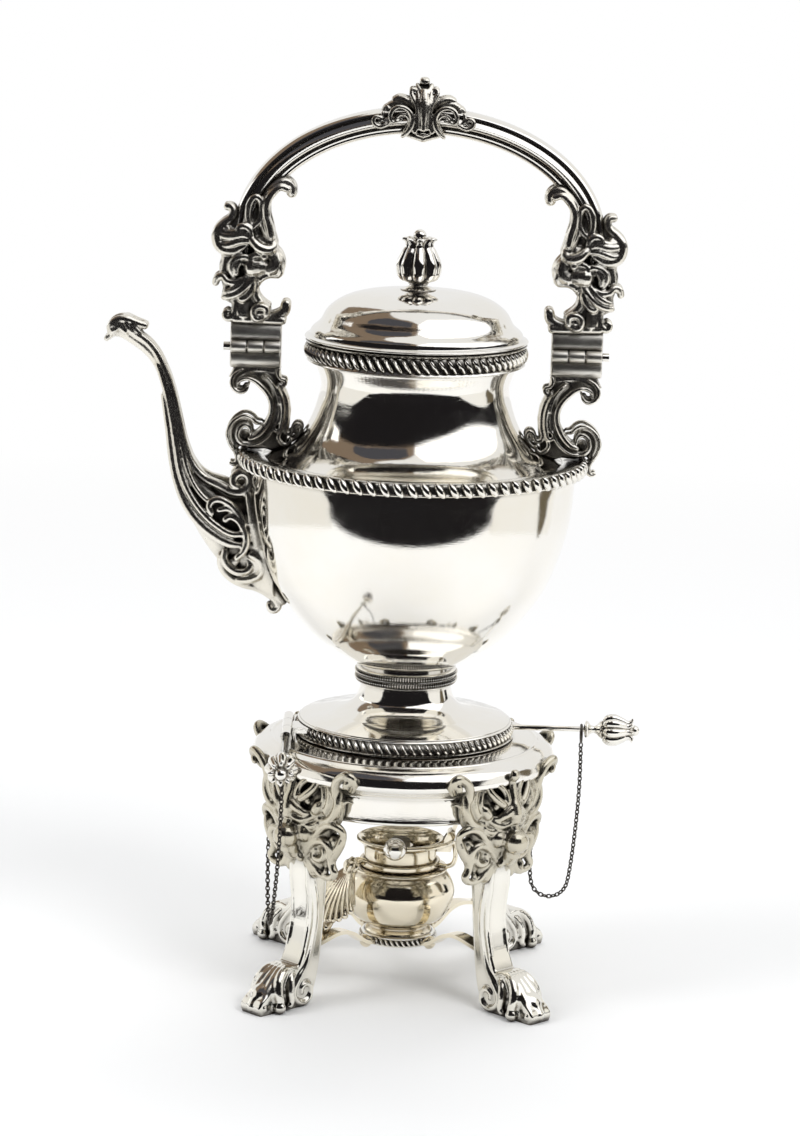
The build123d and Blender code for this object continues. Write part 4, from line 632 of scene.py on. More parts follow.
# lion head at the right end of the handle, looking inwards
lionHead = {"voxel": 0.42, "fatter": 0.8, "core": [
    (77, 377.1), (73.8, 372.4), (73.7, 368.9), (72.3, 363), (70.1, 358.6), (68.4, 354.7), (68.1, 351.8),
    (65.6, 348.8), (64.1, 345.2), (64.7, 341.7), (66.2, 340.5), (70.3, 340.5), (73.2, 339.2), (76, 336.2),
    (76.9, 333), (75.5, 329.5), (72.8, 326.9), (70.9, 324.9), (70.4, 322), (71.1, 319), (85.7, 319.5),
    (85.6, 327.7), (90.5, 329.9), (90, 334.3), (91, 338.5), (91.7, 342.6), (91, 347.3), (91.4, 350.8),
    (93.6, 353.2), (94.8, 356.7), (93.6, 360.5), (90.9, 363), (87.4, 364.1), (84.3, 366.9), (81.8, 371.5),
    (79.3, 376.1)], "strands": [
    [(60.3, 4, 379.8, 2), (61.1, 4, 383, 2), (64.2, 4.5, 384.4, 2), (67.7, 5, 382.5, 2), (70.8, 5, 378.8, 2),
     (73.1, 5, 373.6, 2), (73.7, 5, 369, 2.1), (72.2, 5.5, 363.2, 2.2), (70.3, 6, 359.1, 2.3),
     (69.3, 6, 355.6, 2.3)],
    [(62.2, 6.5, 381.3, 0.9), (65.6, 6.8, 382.2, 1), (68.6, 7, 380.1, 1.2), (71.4, 7.5, 375.6, 1.2),
     (71.9, 7.5, 369.8, 1.2), (70.6, 8, 364.6, 1.2), (69.4, 8, 359.3, 1.2)],
    [(63.6, 3, 386.8, 0.8), (64.5, 3.5, 384.8, 1.2), (68.6, 4, 382.1, 1.3)],
    [(74.4, 6.5, 374.4, 0.8), (75.1, 7, 376.5, 0.8), (77.1, 7.2, 377.5, 0.8), (79.5, 7.2, 374.7, 0.9),
     (80.5, 7.2, 370.1, 0.9), (80.1, 7, 365.9, 0.8), (78.3, 6.8, 363.5, 0.7)],
    [(74.4, 6.5, 374.4, 0.7), (74.2, 7, 369.8, 0.7), (75.6, 7.2, 365.8, 0.8), (77.7, 7, 363.5, 0.7)],
    [(90.3, 3, 372.2, 1.2), (88.5, 3.5, 372.1, 1.2), (87.4, 4, 369.9, 1.3), (88.4, 4, 367, 1.4),
     (91.7, 4, 364.2, 1.6), (94.2, 4.5, 360.9, 1.9), (94.7, 4.5, 356.8, 2), (93, 5, 353.3, 2),
     (89.5, 6, 351.8, 1.7), (86, 6.5, 352.1, 1.4), (83, 7, 353.8, 1.2), (80.9, 7, 355.2, 0.8)],
    [(78.7, 7.5, 358.4, 0.8), (82.7, 8, 359.7, 1), (87.4, 7.5, 358.7, 1.2), (91.6, 6, 358.6, 1.2),
     (93.9, 5, 359.7, 1)],
    [(80, 7.5, 356.7, 0.8), (83.4, 8, 356.6, 1), (87.6, 7.5, 355.2, 1.1), (91.1, 6.5, 354.3, 1),
     (93.8, 5, 355.4, 0.9)],
    [(78.7, 7.5, 360.1, 0.8), (82.7, 7.8, 361.6, 0.9), (87.4, 7, 360.4, 1), (91.2, 5.5, 360.6, 1),
     (93.3, 4.5, 361.4, 0.9)],
    [(78.4, 7.5, 358.7, 0.7), (79.4, 8, 362, 0.9), (82, 8, 363.8, 1), (84.3, 8, 363, 0.9),
     (85.6, 7.5, 360.6, 0.8), (88, 6.5, 360.3, 0.8), (90, 5, 362.2, 0.8)],
    [(68.3, 7, 355.7, 1.5), (69, 8, 353.6, 1.7), (71.5, 8.8, 353.1, 1.9), (74.5, 9, 354, 1.9),
     (77.1, 8.4, 356.1, 1.6), (78.5, 7.5, 357.8, 1.2)],
    [(72.5, 5.5, 356.7, 2.3), (75.4, 5, 356.5, 2.3)],
    [(73.5, 2, 371, 2.3), (74.1, 2.5, 364.1, 2.7), (73.7, 3, 357.7, 3)],
    [(77.2, 3, 371.2, 2), (77.5, 3.5, 364.3, 2.3), (77.7, 3.5, 359.1, 2.6)],
    [(68, 5, 352.5, 1.7), (66.1, 5, 349.8, 2), (65.1, 4.5, 346.2, 2.1), (65.6, 4, 342.7, 1.9)],
    [(67.5, 5.5, 349.9, 2.7), (67.4, 6, 345.6, 3.3), (69.8, 6, 343.6, 2.9)],
    [(65.4, 7.5, 345.7, 0.9), (64.8, 7, 343.3, 1), (65.6, 6, 341.3, 1), (68.7, 6.5, 341.1, 0.9),
     (71.6, 7, 340.5, 0.9), (74, 6.5, 338.6, 0.8)],
    [(72.3, 8.5, 349.8, 1.3), (72.4, 8.6, 349.7, 1.3)],
    [(75, 8, 350.5, 0.8), (77.3, 8, 350.2, 0.9), (79.1, 8, 348.3, 0.8)],
    [(74.2, 6, 344.8, 3.8), (77.7, 6, 344.6, 4.2)],
    [(80.8, 7.5, 349.4, 0.9), (84.3, 7.5, 348.9, 1.1), (87.1, 7, 346.3, 1.2), (87.7, 6.5, 343.1, 1.1),
     (86.6, 6, 340.1, 0.7)],
    [(83.5, 7.5, 347.2, 0.8), (85.2, 7.5, 344.6, 0.9), (85.3, 7, 341.3, 0.7)],
    [(89.2, 2, 349.9, 1.5), (91.2, 2, 345.8, 1.5), (91.2, 2, 340.6, 1.5)],
    [(77.2, 7, 339.9, 0.9), (79.3, 7.5, 336.8, 1), (82, 7.5, 333.8, 1.1), (85.1, 7, 331.6, 1.1),
     (88.7, 6, 330.3, 1), (90.8, 5, 329.8, 0.9)],
    [(80.7, 7, 339.7, 0.8), (83.1, 7.5, 336.6, 0.9), (86.1, 7, 334, 1), (89.8, 5.5, 332.3, 0.9)],
    [(82.5, 7, 338.6, 0.8), (86, 7, 337.1, 0.9), (89.5, 6.5, 337.6, 1), (91.8, 5.5, 339.7, 1.1),
     (94.2, 4.5, 338.6, 1.2), (95, 4, 336.4, 1)],
    [(77.3, 6.5, 338.4, 0.8), (77.8, 7, 334.9, 0.9), (79.1, 7, 331.7, 1), (81.2, 6.8, 329.6, 0.9),
     (83, 6.5, 329.5, 0.8), (83.3, 6.2, 330.8, 0.7)],
    [(74.1, 5, 338.4, 1), (76.2, 5, 335.8, 1.2), (76.5, 5, 332.9, 1.2), (74.9, 5, 329.3, 1.2),
     (72.2, 5, 327, 1), (70.2, 5, 325.9, 0.8)],
    [(79.1, 2, 340.2, 3.5), (81.1, 2, 333.8, 3.6), (81.9, 2, 327.9, 3.6), (81.6, 2.5, 322.1, 3.9)],
    [(86.1, 1, 340.3, 2.9), (86.9, 1, 335, 2.9), (87.1, 1.5, 330.4, 2.3)],
    [(70.6, 7, 322.4, 1), (71, 7.5, 325.3, 1), (73.6, 7.8, 326.4, 1), (76.3, 7.8, 325, 1),
     (76.7, 7.5, 322.1, 1), (75.1, 7.2, 320.2, 0.9), (73, 7, 320.7, 0.8)],
    [(74.1, 6.5, 323.3, 1.5), (74.2, 6.5, 323.1, 1.5)],
    [(74.5, 3, 322.5, 3.5), (74.8, 3, 322.4, 3.5)],
    [(61.8, 3, 327.1, 1.8), (62.5, 3, 323.9, 2), (65.5, 3, 321.7, 2), (69.3, 3, 320.6, 2.1),
     (74, 3, 320.5, 2.2)],
    [(63.5, 4, 319.4, 1.5), (74.6, 4, 319.5, 1.5), (85.1, 4, 319.8, 1.5)],
    [(84.8, 3.5, 328.2, 1.2), (85.4, 4, 324.2, 1.2), (86.5, 4, 321, 1.2), (88.9, 4, 319.8, 1.1),
     (90.3, 4, 321.7, 0.9), (89.1, 4, 323, 0.8)],
]}
headCore = slab(inset(lionHead["core"], 0.8), half=5.2, edge=2.4)
headFaces = bothFaces(laid(lionHead["strands"], lionHead["fatter"]))
head = cast("lionHeadRight", [headCore] + headFaces, lionHead["voxel"])
finishBothSides(head, "bail", castSilver, "cast_silver", "bail_mask")
print("heads cast", flush=True)

# C-scroll bracket under the right hinge
scrollBracket = {"voxel": 0.42, "fatter": 0.3, "core": [
    (65.2, 296.4), (83.7, 297), (85.9, 292.4), (83.3, 290.6), (80, 291.8), (75.3, 291.4), (71.5, 288.6),
    (68.7, 284.5), (67.2, 279.4), (67.4, 274.7), (68.9, 270.1), (71.7, 266.1), (75.5, 263.2), (78.5, 262.7),
    (82.5, 261.8), (80.6, 260), (77.3, 259.3), (71.3, 260.1), (66.7, 258.6), (62, 260.1), (61.2, 263.8),
    (60.3, 269.8), (59.7, 276.5), (60.5, 281.9), (62, 285.6), (64.2, 289)], "strands": [
    [(66.7, 2, 294.8, 1.6), (71.9, 2, 295.6, 1.7), (76.6, 2, 295.4, 1.7), (80.9, 2, 294.1, 1.7),
     (84.4, 2, 291.3, 1.7), (85.1, 2, 288, 1.7), (83.2, 2, 285.9, 1.5), (80.6, 2, 286.2, 1.2),
     (79.7, 2, 287.8, 0.9)],
    [(78.7, 6.8, 287.9, 0.5), (79.6, 7, 286.3, 0.6), (81.7, 7, 285.3, 0.7), (84.4, 7, 286.1, 0.7),
     (86.2, 7, 288.5, 0.7), (86.1, 6.8, 291.5, 0.7), (84, 6.5, 294.4, 0.6), (81.4, 6, 295.9, 0.5)],
    [(83.3, 6.5, 287.7, 0.5), (83.4, 6.8, 289.4, 0.5), (82.2, 7, 291, 0.6), (79.8, 7, 291.9, 0.7),
     (76.2, 7, 291.2, 0.9), (72.4, 7, 288.4, 1.1), (69.1, 7, 284.6, 1.1), (67.4, 7, 280.6, 1.2),
     (67.2, 7, 276.5, 1.2), (68.4, 7, 272.2, 1.2), (70.9, 7, 267.9, 1.2), (74.3, 7, 264.5, 1.1),
     (77.3, 7, 263.3, 0.7)],
    [(70.7, 4.5, 292.6, 1), (67.5, 5, 289.6, 1.1), (65.6, 5, 285.5, 1.2), (64.7, 5, 280.5, 1.2),
     (64.9, 5, 275.5, 1.2), (65.9, 5, 270.5, 1.2), (68, 5, 266.5, 1.2), (71.1, 5, 263.3, 1.2),
     (74.5, 5, 261.4, 1.2), (77.8, 5.5, 260.7, 1.1), (80.8, 6, 261, 1.1), (82.7, 6.5, 263.2, 1),
     (82.9, 6.8, 265.9, 0.9), (81.3, 6.8, 268.9, 0.9), (78.9, 6.8, 269.7, 0.9), (77, 6.8, 267.8, 0.7),
     (76.6, 6.8, 265.4, 0.5)],
    [(69.6, 6, 292.2, 0.5), (66.8, 6.5, 289.1, 0.5), (65.1, 6.5, 285.4, 0.5), (63.9, 6.5, 280.7, 0.5)],
    [(65.5, 6.5, 270.4, 0.4), (67.3, 6.8, 266.5, 0.5), (70.4, 6.8, 262.9, 0.5), (74.1, 6.8, 260.6, 0.5),
     (77.8, 6.8, 259.9, 0.4)],
    [(72.1, 6, 270.5, 0.5), (74.4, 6.5, 271, 0.7), (76.3, 7, 272.8, 0.7), (79.6, 7, 274.1, 0.7),
     (83.2, 7, 272.7, 0.7), (86.4, 7, 269.4, 0.7), (87.7, 7, 265.8, 0.7), (87, 6.5, 261.7, 0.7),
     (85.2, 6, 258.2, 0.7)],
    [(79.5, 3, 271.2, 1.1), (82.8, 3, 270.3, 1.2), (85, 3, 267.1, 1.3), (85.1, 3, 263, 1.3),
     (83.3, 3, 259.3, 1.1)],
    [(79.8, 2, 264, 2.3), (80.5, 2, 264.7, 2.3)],
    [(85.3, 4, 258.2, 0.8), (83.4, 4.5, 255.5, 0.9), (83, 4.5, 252.8, 0.9), (84.2, 4.5, 250.5, 0.8),
     (86, 4.5, 250.9, 0.6)],
    [(79, 3, 258.8, 0.8), (80.9, 3.5, 256.3, 0.9), (81.8, 4, 253, 0.9), (83.6, 4, 250.7, 0.8)],
    [(64.2, 4, 288.7, 0.9), (62, 4.5, 285, 1), (60.7, 4.5, 281.3, 1.1), (60.2, 4.5, 276.6, 1.1),
     (60.3, 4.5, 271.6, 1.1), (60.9, 5, 268.3, 1), (59.8, 5, 266.1, 0.9), (57.7, 5, 266.5, 0.8),
     (56.7, 5, 268.8, 0.8), (54.8, 5, 270.5, 0.8), (53.2, 5, 269.1, 0.8), (53.6, 5, 266.4, 0.8),
     (55.5, 5, 264.1, 0.7), (57.2, 5, 262.8, 0.6)],
    [(64.9, 6, 287.7, 0.6), (62.9, 6.5, 283, 0.7), (62, 6.5, 278.6, 0.7), (61.9, 6.5, 274.3, 0.7),
     (62.6, 6.5, 270.3, 0.7), (63.6, 6.5, 267.5, 0.7), (65.1, 6.5, 267.3, 0.6), (65.6, 6.5, 268.5, 0.4)],
    [(63.8, 6, 281.6, 0.4), (63.3, 6.2, 276.9, 0.5), (63.9, 6.2, 272.3, 0.5), (65.6, 6.2, 269.3, 0.4)],
    [(63, 5.5, 266.8, 0.7), (63.8, 6, 264.2, 0.8), (62.5, 6, 261.8, 0.9), (60.3, 6, 260.7, 0.9),
     (58.3, 6, 261.8, 0.7), (57.8, 6, 263.7, 0.5)],
    [(55.8, 4, 267, 0.9), (55.8, 4, 266.8, 0.9)],
    [(64.3, 4, 296.3, 0.7), (64.7, 4.5, 293.8, 0.7), (63.4, 4.5, 291.7, 0.7), (61.6, 4.5, 291.3, 0.7),
     (61, 4.5, 290, 0.7), (62.4, 4.5, 288.5, 0.7), (64.2, 4.5, 289.2, 0.6)],
    [(65.4, 1, 295.3, 1.1), (74.9, 1, 296.2, 1.1), (83.9, 1, 296.5, 1)],
    [(62.2, 0, 265.8, 2), (65.3, 0, 263.2, 2), (69.4, 0, 260.3, 1.7), (73.5, 0, 258.8, 1.3)],
    [(62.8, 0, 286, 2), (62.4, 0, 279.3, 2), (62.6, 0, 272.6, 2), (63.8, 0, 267.6, 2)],
    [(67.8, 0, 286.1, 1), (65.4, 0, 279.4, 1.7), (65.6, 0, 272.7, 1.7)],
    [(59.7, 2, 259.7, 0.7), (68.1, 2, 259.1, 0.7), (76.7, 2, 258.4, 0.7)],
]}
bracketCore = slab(scrollBracket["core"], half=3.6, edge=1.6)
bracketFaces = bothFaces(laid(scrollBracket["strands"], scrollBracket["fatter"]))
bracket = cast("scrollBracketRight", [bracketCore] + bracketFaces, scrollBracket["voxel"], soften=1)
finishBothSides(bracket, "kettle", castSilver, "silver", "bracket")
print("brackets cast", flush=True)

# palmette and scrolls at the top of the handle, left half drawn and mirrored
crest = {"voxel": 0.4, "fatter": 0.3, "from": 408.0, "top": 434.9, "strands": [
    [(-0.4, 2, 434.7, 1.8), (-0.4, 2, 434.5, 1.8)],
    [(-0.5, 1, 432, 1.6), (-0.4, 1, 428.9, 2.1), (-0.2, 1, 422.8, 2.3), (0, 1, 415.7, 2.5),
     (0.1, 0, 410, 2.1)],
    [(-3.3, 3, 432.6, 0.8), (-2.5, 4, 431.3, 0.9), (-1.3, 5.5, 429.2, 0.9)],
    [(-4.1, 4.5, 430.6, 0.8), (-5.5, 4.5, 430.9, 0.9), (-6, 5, 429.4, 0.9), (-5.2, 5.8, 426.8, 1),
     (-3.5, 7, 423.2, 1), (-2.8, 7.6, 419.1, 1), (-2.7, 7.6, 414.5, 1), (-4, 7.5, 410.3, 0.9)],
    [(-3.2, 5, 430.1, 0.6), (-2.7, 6.5, 426.7, 0.8), (-1.9, 8, 422.7, 0.9), (-1.3, 8.4, 416.3, 0.9),
     (-1.4, 8, 411.7, 0.8)],
    [(-0.4, 5.5, 430.6, 0.8), (-0.5, 7.5, 426.9, 1), (-0.2, 9, 420, 1.1), (0.1, 8.6, 411.4, 0.9)],
    [(-13.6, 3, 425.4, 1.4), (-11.6, 3.5, 426.2, 1.7), (-8.8, 4, 425.6, 1.8), (-5.9, 4.5, 423.7, 1.8),
     (-4.4, 5, 420.9, 1.4)],
    [(-15.8, 3, 422.5, 1.4), (-12.3, 3.5, 423.7, 1.8), (-8.3, 4, 422.5, 1.8)],
    [(-18.2, 3, 420.3, 1.3), (-16.8, 3.5, 421.5, 1.4), (-17.4, 4, 417.6, 1.1)],
    [(-9.6, 6.5, 407.6, 0.7), (-7.2, 7.5, 410.1, 0.9), (-5.5, 8, 413.7, 0.9), (-5.2, 8, 417.2, 0.9),
     (-7, 8, 420.5, 0.9), (-10.1, 8, 422.2, 0.9), (-13.3, 8, 421.6, 0.9), (-15.1, 8, 419.1, 0.9),
     (-15.4, 8, 416.2, 0.8), (-14.3, 8, 414.7, 0.6), (-12.3, 8, 415.2, 0.5)],
    [(-8.7, 6.5, 410.6, 0.5), (-6.7, 7, 414.6, 0.6), (-7.4, 7.5, 417.7, 0.7), (-9.8, 7.5, 418.8, 0.7),
     (-12, 7.5, 417.7, 0.7), (-12.8, 7.5, 416.1, 0.6), (-11.5, 7.5, 415.5, 0.5), (-10.1, 7.5, 416.3, 0.4)],
    [(-15.5, 6.5, 414.5, 0.6), (-18, 7, 412.9, 0.9), (-20.8, 7, 412.3, 0.9), (-22.9, 7, 413.8, 0.9),
     (-23.1, 7, 415.9, 0.8), (-21.6, 7, 417, 0.7), (-19.9, 7, 416, 0.6), (-20.5, 7, 414.6, 0.5)],
    [(-21.2, 4, 414.6, 1.1), (-21.1, 4, 414.6, 1.1)],
    [(-18.9, 6, 419.1, 0.6), (-19, 6.5, 416.3, 0.6), (-17.7, 6.5, 414.2, 0.6)],
    [(-7.2, 3, 408.4, 1.2), (-3.6, 4, 407.5, 1.4), (0.2, 4.5, 406.6, 1.6)],
    [(-2.6, 7, 408.9, 0.6), (0.1, 7.5, 408.2, 0.7)],
]}
crestHalf = joined("crestHalf", bothFaces(laid(crest["strands"], crest["fatter"])))
crestPiece = cast("palmetteCrest", [crestHalf, mirrored(crestHalf)], crest["voxel"], soften=1)
finishPiece(reaching(crestPiece, 2, crest["from"], crest["top"]), "bail", castSilver, "cast_silver",
            "bail_crest")
print("crest cast", flush=True)

# moulded arch between the heads
arch = {"middle": 360.0, "steps": 96, "across": 80.8, "rise": 55.0, "tail": 10.0, "section": [
    (6.4, 0), (6.3, 2.4), (5.7, 4.2), (5.2, 5.2), (4.4, 5.9), (3.5, 5.8), (3, 4.9), (2.5, 5.3), (1.6, 6.4),
    (0.2, 7), (-1.2, 6.5), (-2.1, 5.4), (-2.5, 4.5), (-2.9, 4.9), (-3.5, 5.3), (-4.1, 5), (-4.4, 4.3),
    (-5, 4.5), (-5.8, 3.9), (-6.3, 2.4), (-6.4, 0)]}


def swept(name, line, section):
    profile, path = drawn(section, closed=True), drawn(line)
    path.data.twist_mode = "Z_UP"
    path.data.bevel_mode = "OBJECT"
    path.data.bevel_object = profile
    path.data.use_fill_caps = True
    piece = meshed(path)
    piece.name = name
    bpy.data.objects.remove(profile)
    return cleaned(piece, 0.003)


halfTurn = [math.pi * i / arch["steps"] for i in range(arch["steps"] + 1)]
archLine = [(-arch["across"] * math.cos(a), arch["rise"] * math.sin(a)) for a in halfTurn]
archLine = [(-arch["across"], -arch["tail"]), *archLine, (arch["across"], -arch["tail"])]
archSection = [(-p, q) for p, q in arch["section"]] + [(-p, -q) for p, q in arch["section"][-2:0:-1]]
archPiece = swept("mouldedArch", archLine, archSection)
archPiece.matrix_world = Matrix.Translation((0, 0, arch["middle"])) @ turn(90, "X")
applyPlace(archPiece)
finishPiece(smooth(archPiece, 38), "bail", polished, "silver", "bail_arch")
print("arch drawn", flush=True)


# Spout: the part's own hollow horn, with flutes and leaves laid over it

def nodeCopy(node):
    pick(nodes[node])
    bpy.ops.object.duplicate()
    twin = bpy.context.object
    twin.matrix_world = (Matrix.Scale(1 / bench["scale"], 4) @ Matrix.Translation(-Vector(bench["axis"]))
                         @ twin.matrix_world)
    return cleaned(applyPlace(twin), 0.002, outward=False)


spout = {"voxel": 0.5, "fatter": 0.8, "root": -60.0, "tip": -147.0, "strands": [
    [(-133.3, 3.2, 311.6, 1.3), (-125.2, 2.8, 305.6, 1.2), (-118.9, 2.8, 295.3, 1.2), (-114.8, 3, 284, 1.2),
     (-111.4, 3.2, 270.7, 1.2), (-108.3, 3.8, 258.4, 1.3), (-103.9, 4.5, 249, 1.4), (-98.2, 5.5, 243.6, 1.5),
     (-90.4, 8, 240.5, 1.7), (-84.1, 9.5, 238, 1.9), (-78.4, 10, 239.3, 1.9), (-76.5, 10, 244.1, 1.7),
     (-79.6, 10, 247.4, 1.6), (-83.6, 10, 245.8, 1.5), (-84.4, 10.5, 242, 1.3), (-82.2, 10.5, 240.7, 1)],
    [(-116, 3.6, 284.1, 0.5), (-112.6, 4, 270.8, 0.5), (-109.5, 5, 258.6, 0.6), (-106.1, 7, 246.5, 0.6),
     (-100.7, 9.5, 237.5, 0.6), (-94.8, 11.5, 232.3, 0.6)],
    [(-121.7, 2.8, 296.2, 0.8), (-117.9, 3.4, 284.9, 0.9), (-114.8, 3.8, 271.7, 0.9),
     (-112.3, 4.8, 258.5, 0.9), (-109.1, 6.8, 244.5, 1), (-104.5, 8.8, 235.3, 1.1), (-98, 11.2, 227.3, 1.1),
     (-90.7, 13, 221.6, 1.1), (-84.4, 14, 218.6, 1.1), (-79.7, 14.2, 218.6, 0.9)],
    [(-118.9, 3, 282, 0.7), (-116.1, 3.2, 265.8, 1.1), (-113.8, 4, 250.6, 1.3), (-110.7, 5.5, 239.4, 1.5),
     (-106.2, 7.5, 230.2, 1.7), (-99.2, 10, 222.2, 1.8), (-90.6, 12, 216.3, 1.8), (-84.8, 13, 213.9, 1.7),
     (-80.2, 13.5, 213.3, 1.1)],
    [(-94.4, 12, 228, 0.8), (-95.7, 12, 231.6, 1), (-92.7, 12, 234.4, 1.1), (-87.2, 12.8, 233.5, 1.2),
     (-82.1, 13.5, 229.2, 1.2), (-78.8, 14, 223.6, 1)],
    [(-90.9, 12.6, 229.7, 0.7), (-86.1, 13, 230.4, 0.9), (-81.8, 13.6, 226.3, 0.9), (-79.2, 14, 220.7, 0.8)],
    [(-87.7, 13.2, 225.3, 1.1), (-86, 13.4, 226.6, 0.9), (-82.4, 13.8, 225.6, 1), (-79.3, 14.2, 221.7, 1.1),
     (-77.6, 14.2, 216, 1.1), (-78.8, 14, 210.3, 1), (-81.8, 13.5, 207.2, 0.9)],
    [(-89.7, 8, 206.6, 1.3), (-89.1, 7, 201.6, 1.4), (-85.2, 6, 196.6, 1.5), (-79, 5, 193.2, 1.5),
     (-72.3, 4, 191.3, 1.4), (-67, 3, 188.3, 1.3), (-63.2, 2, 184.8, 1.2), (-62.1, 1.5, 181.3, 1.2),
     (-65, 1.5, 180, 1.1), (-66.2, 1.5, 182.2, 1)],
    [(-87.5, 11, 209.7, 1.1), (-87.8, 11, 205.8, 1.2), (-84.7, 10.5, 201.4, 1.4), (-79.4, 10, 199.8, 1.5),
     (-75.7, 9.5, 202, 1.4), (-76.2, 9.5, 205.2, 1.1)],
    [(-75.3, 11, 208.6, 1.5), (-70.7, 10, 205.2, 1.7), (-70.4, 9, 199.7, 1.7), (-75.1, 8, 196.2, 1.5),
     (-80.9, 7, 195.5, 1.2)],
    [(-82.9, 9, 205.1, 2.1), (-82.7, 9, 204.9, 2.1)],
    [(-69.1, 12, 211.4, 1.1), (-67.6, 9.5, 203.7, 1.2), (-65.8, 6.5, 195.4, 1.2), (-63.2, 4, 189.1, 1.2),
     (-59.6, 2, 184.4, 1.1)],
    [(-73.2, 11, 247.3, 1), (-71.3, 14, 237.3, 1.1), (-69.6, 14.5, 224, 1.1), (-67.9, 12.5, 212.1, 1.1)],
    [(-76, 10.5, 235.6, 2.8), (-74.2, 12, 224.3, 2.8), (-72.6, 10.5, 214.4, 2.5)],
    [(-146.5, 2.5, 308.2, 0.7), (-144.4, 3, 310.8, 0.8), (-144.6, 3.8, 314.2, 1.1), (-141.8, 4, 317.2, 1.2),
     (-137.1, 4, 317.8, 1.2), (-132.4, 3.5, 316.2, 1.1), (-128.4, 3, 314.9, 1.1)],
    [(-143.6, 4.4, 312.1, 0.8), (-142, 4.6, 313.1, 0.8), (-142.2, 4.6, 315, 0.8), (-143.7, 4.6, 315, 0.7)],
    [(-140.9, 4.2, 316.6, 0.7), (-139.4, 4.4, 313.8, 0.8), (-137.3, 4.2, 311.9, 0.7)],
    [(-137.8, 4.2, 316.8, 0.7), (-136.2, 4.4, 313.9, 0.8), (-134.1, 4, 311.8, 0.7)],
    [(-134.6, 4, 316.2, 0.7), (-133, 4.2, 313.4, 0.8), (-130.9, 3.8, 311.5, 0.7)],
    [(-128.6, 2, 314.9, 1.2), (-128.4, 2, 314.7, 1.2)],
]}
spoutFaces = bothFaces(laid(spout["strands"], spout["fatter"]))
spoutPiece = cast("castSpout", [nodeCopy("spout")] + spoutFaces, spout["voxel"], most=150000)
finishPiece(reaching(spoutPiece, 0, spout["root"], spout["tip"]), "kettle", castSilver, "silver", "spout")
print("spout cast", flush=True)


# Grotesque masks on the knees

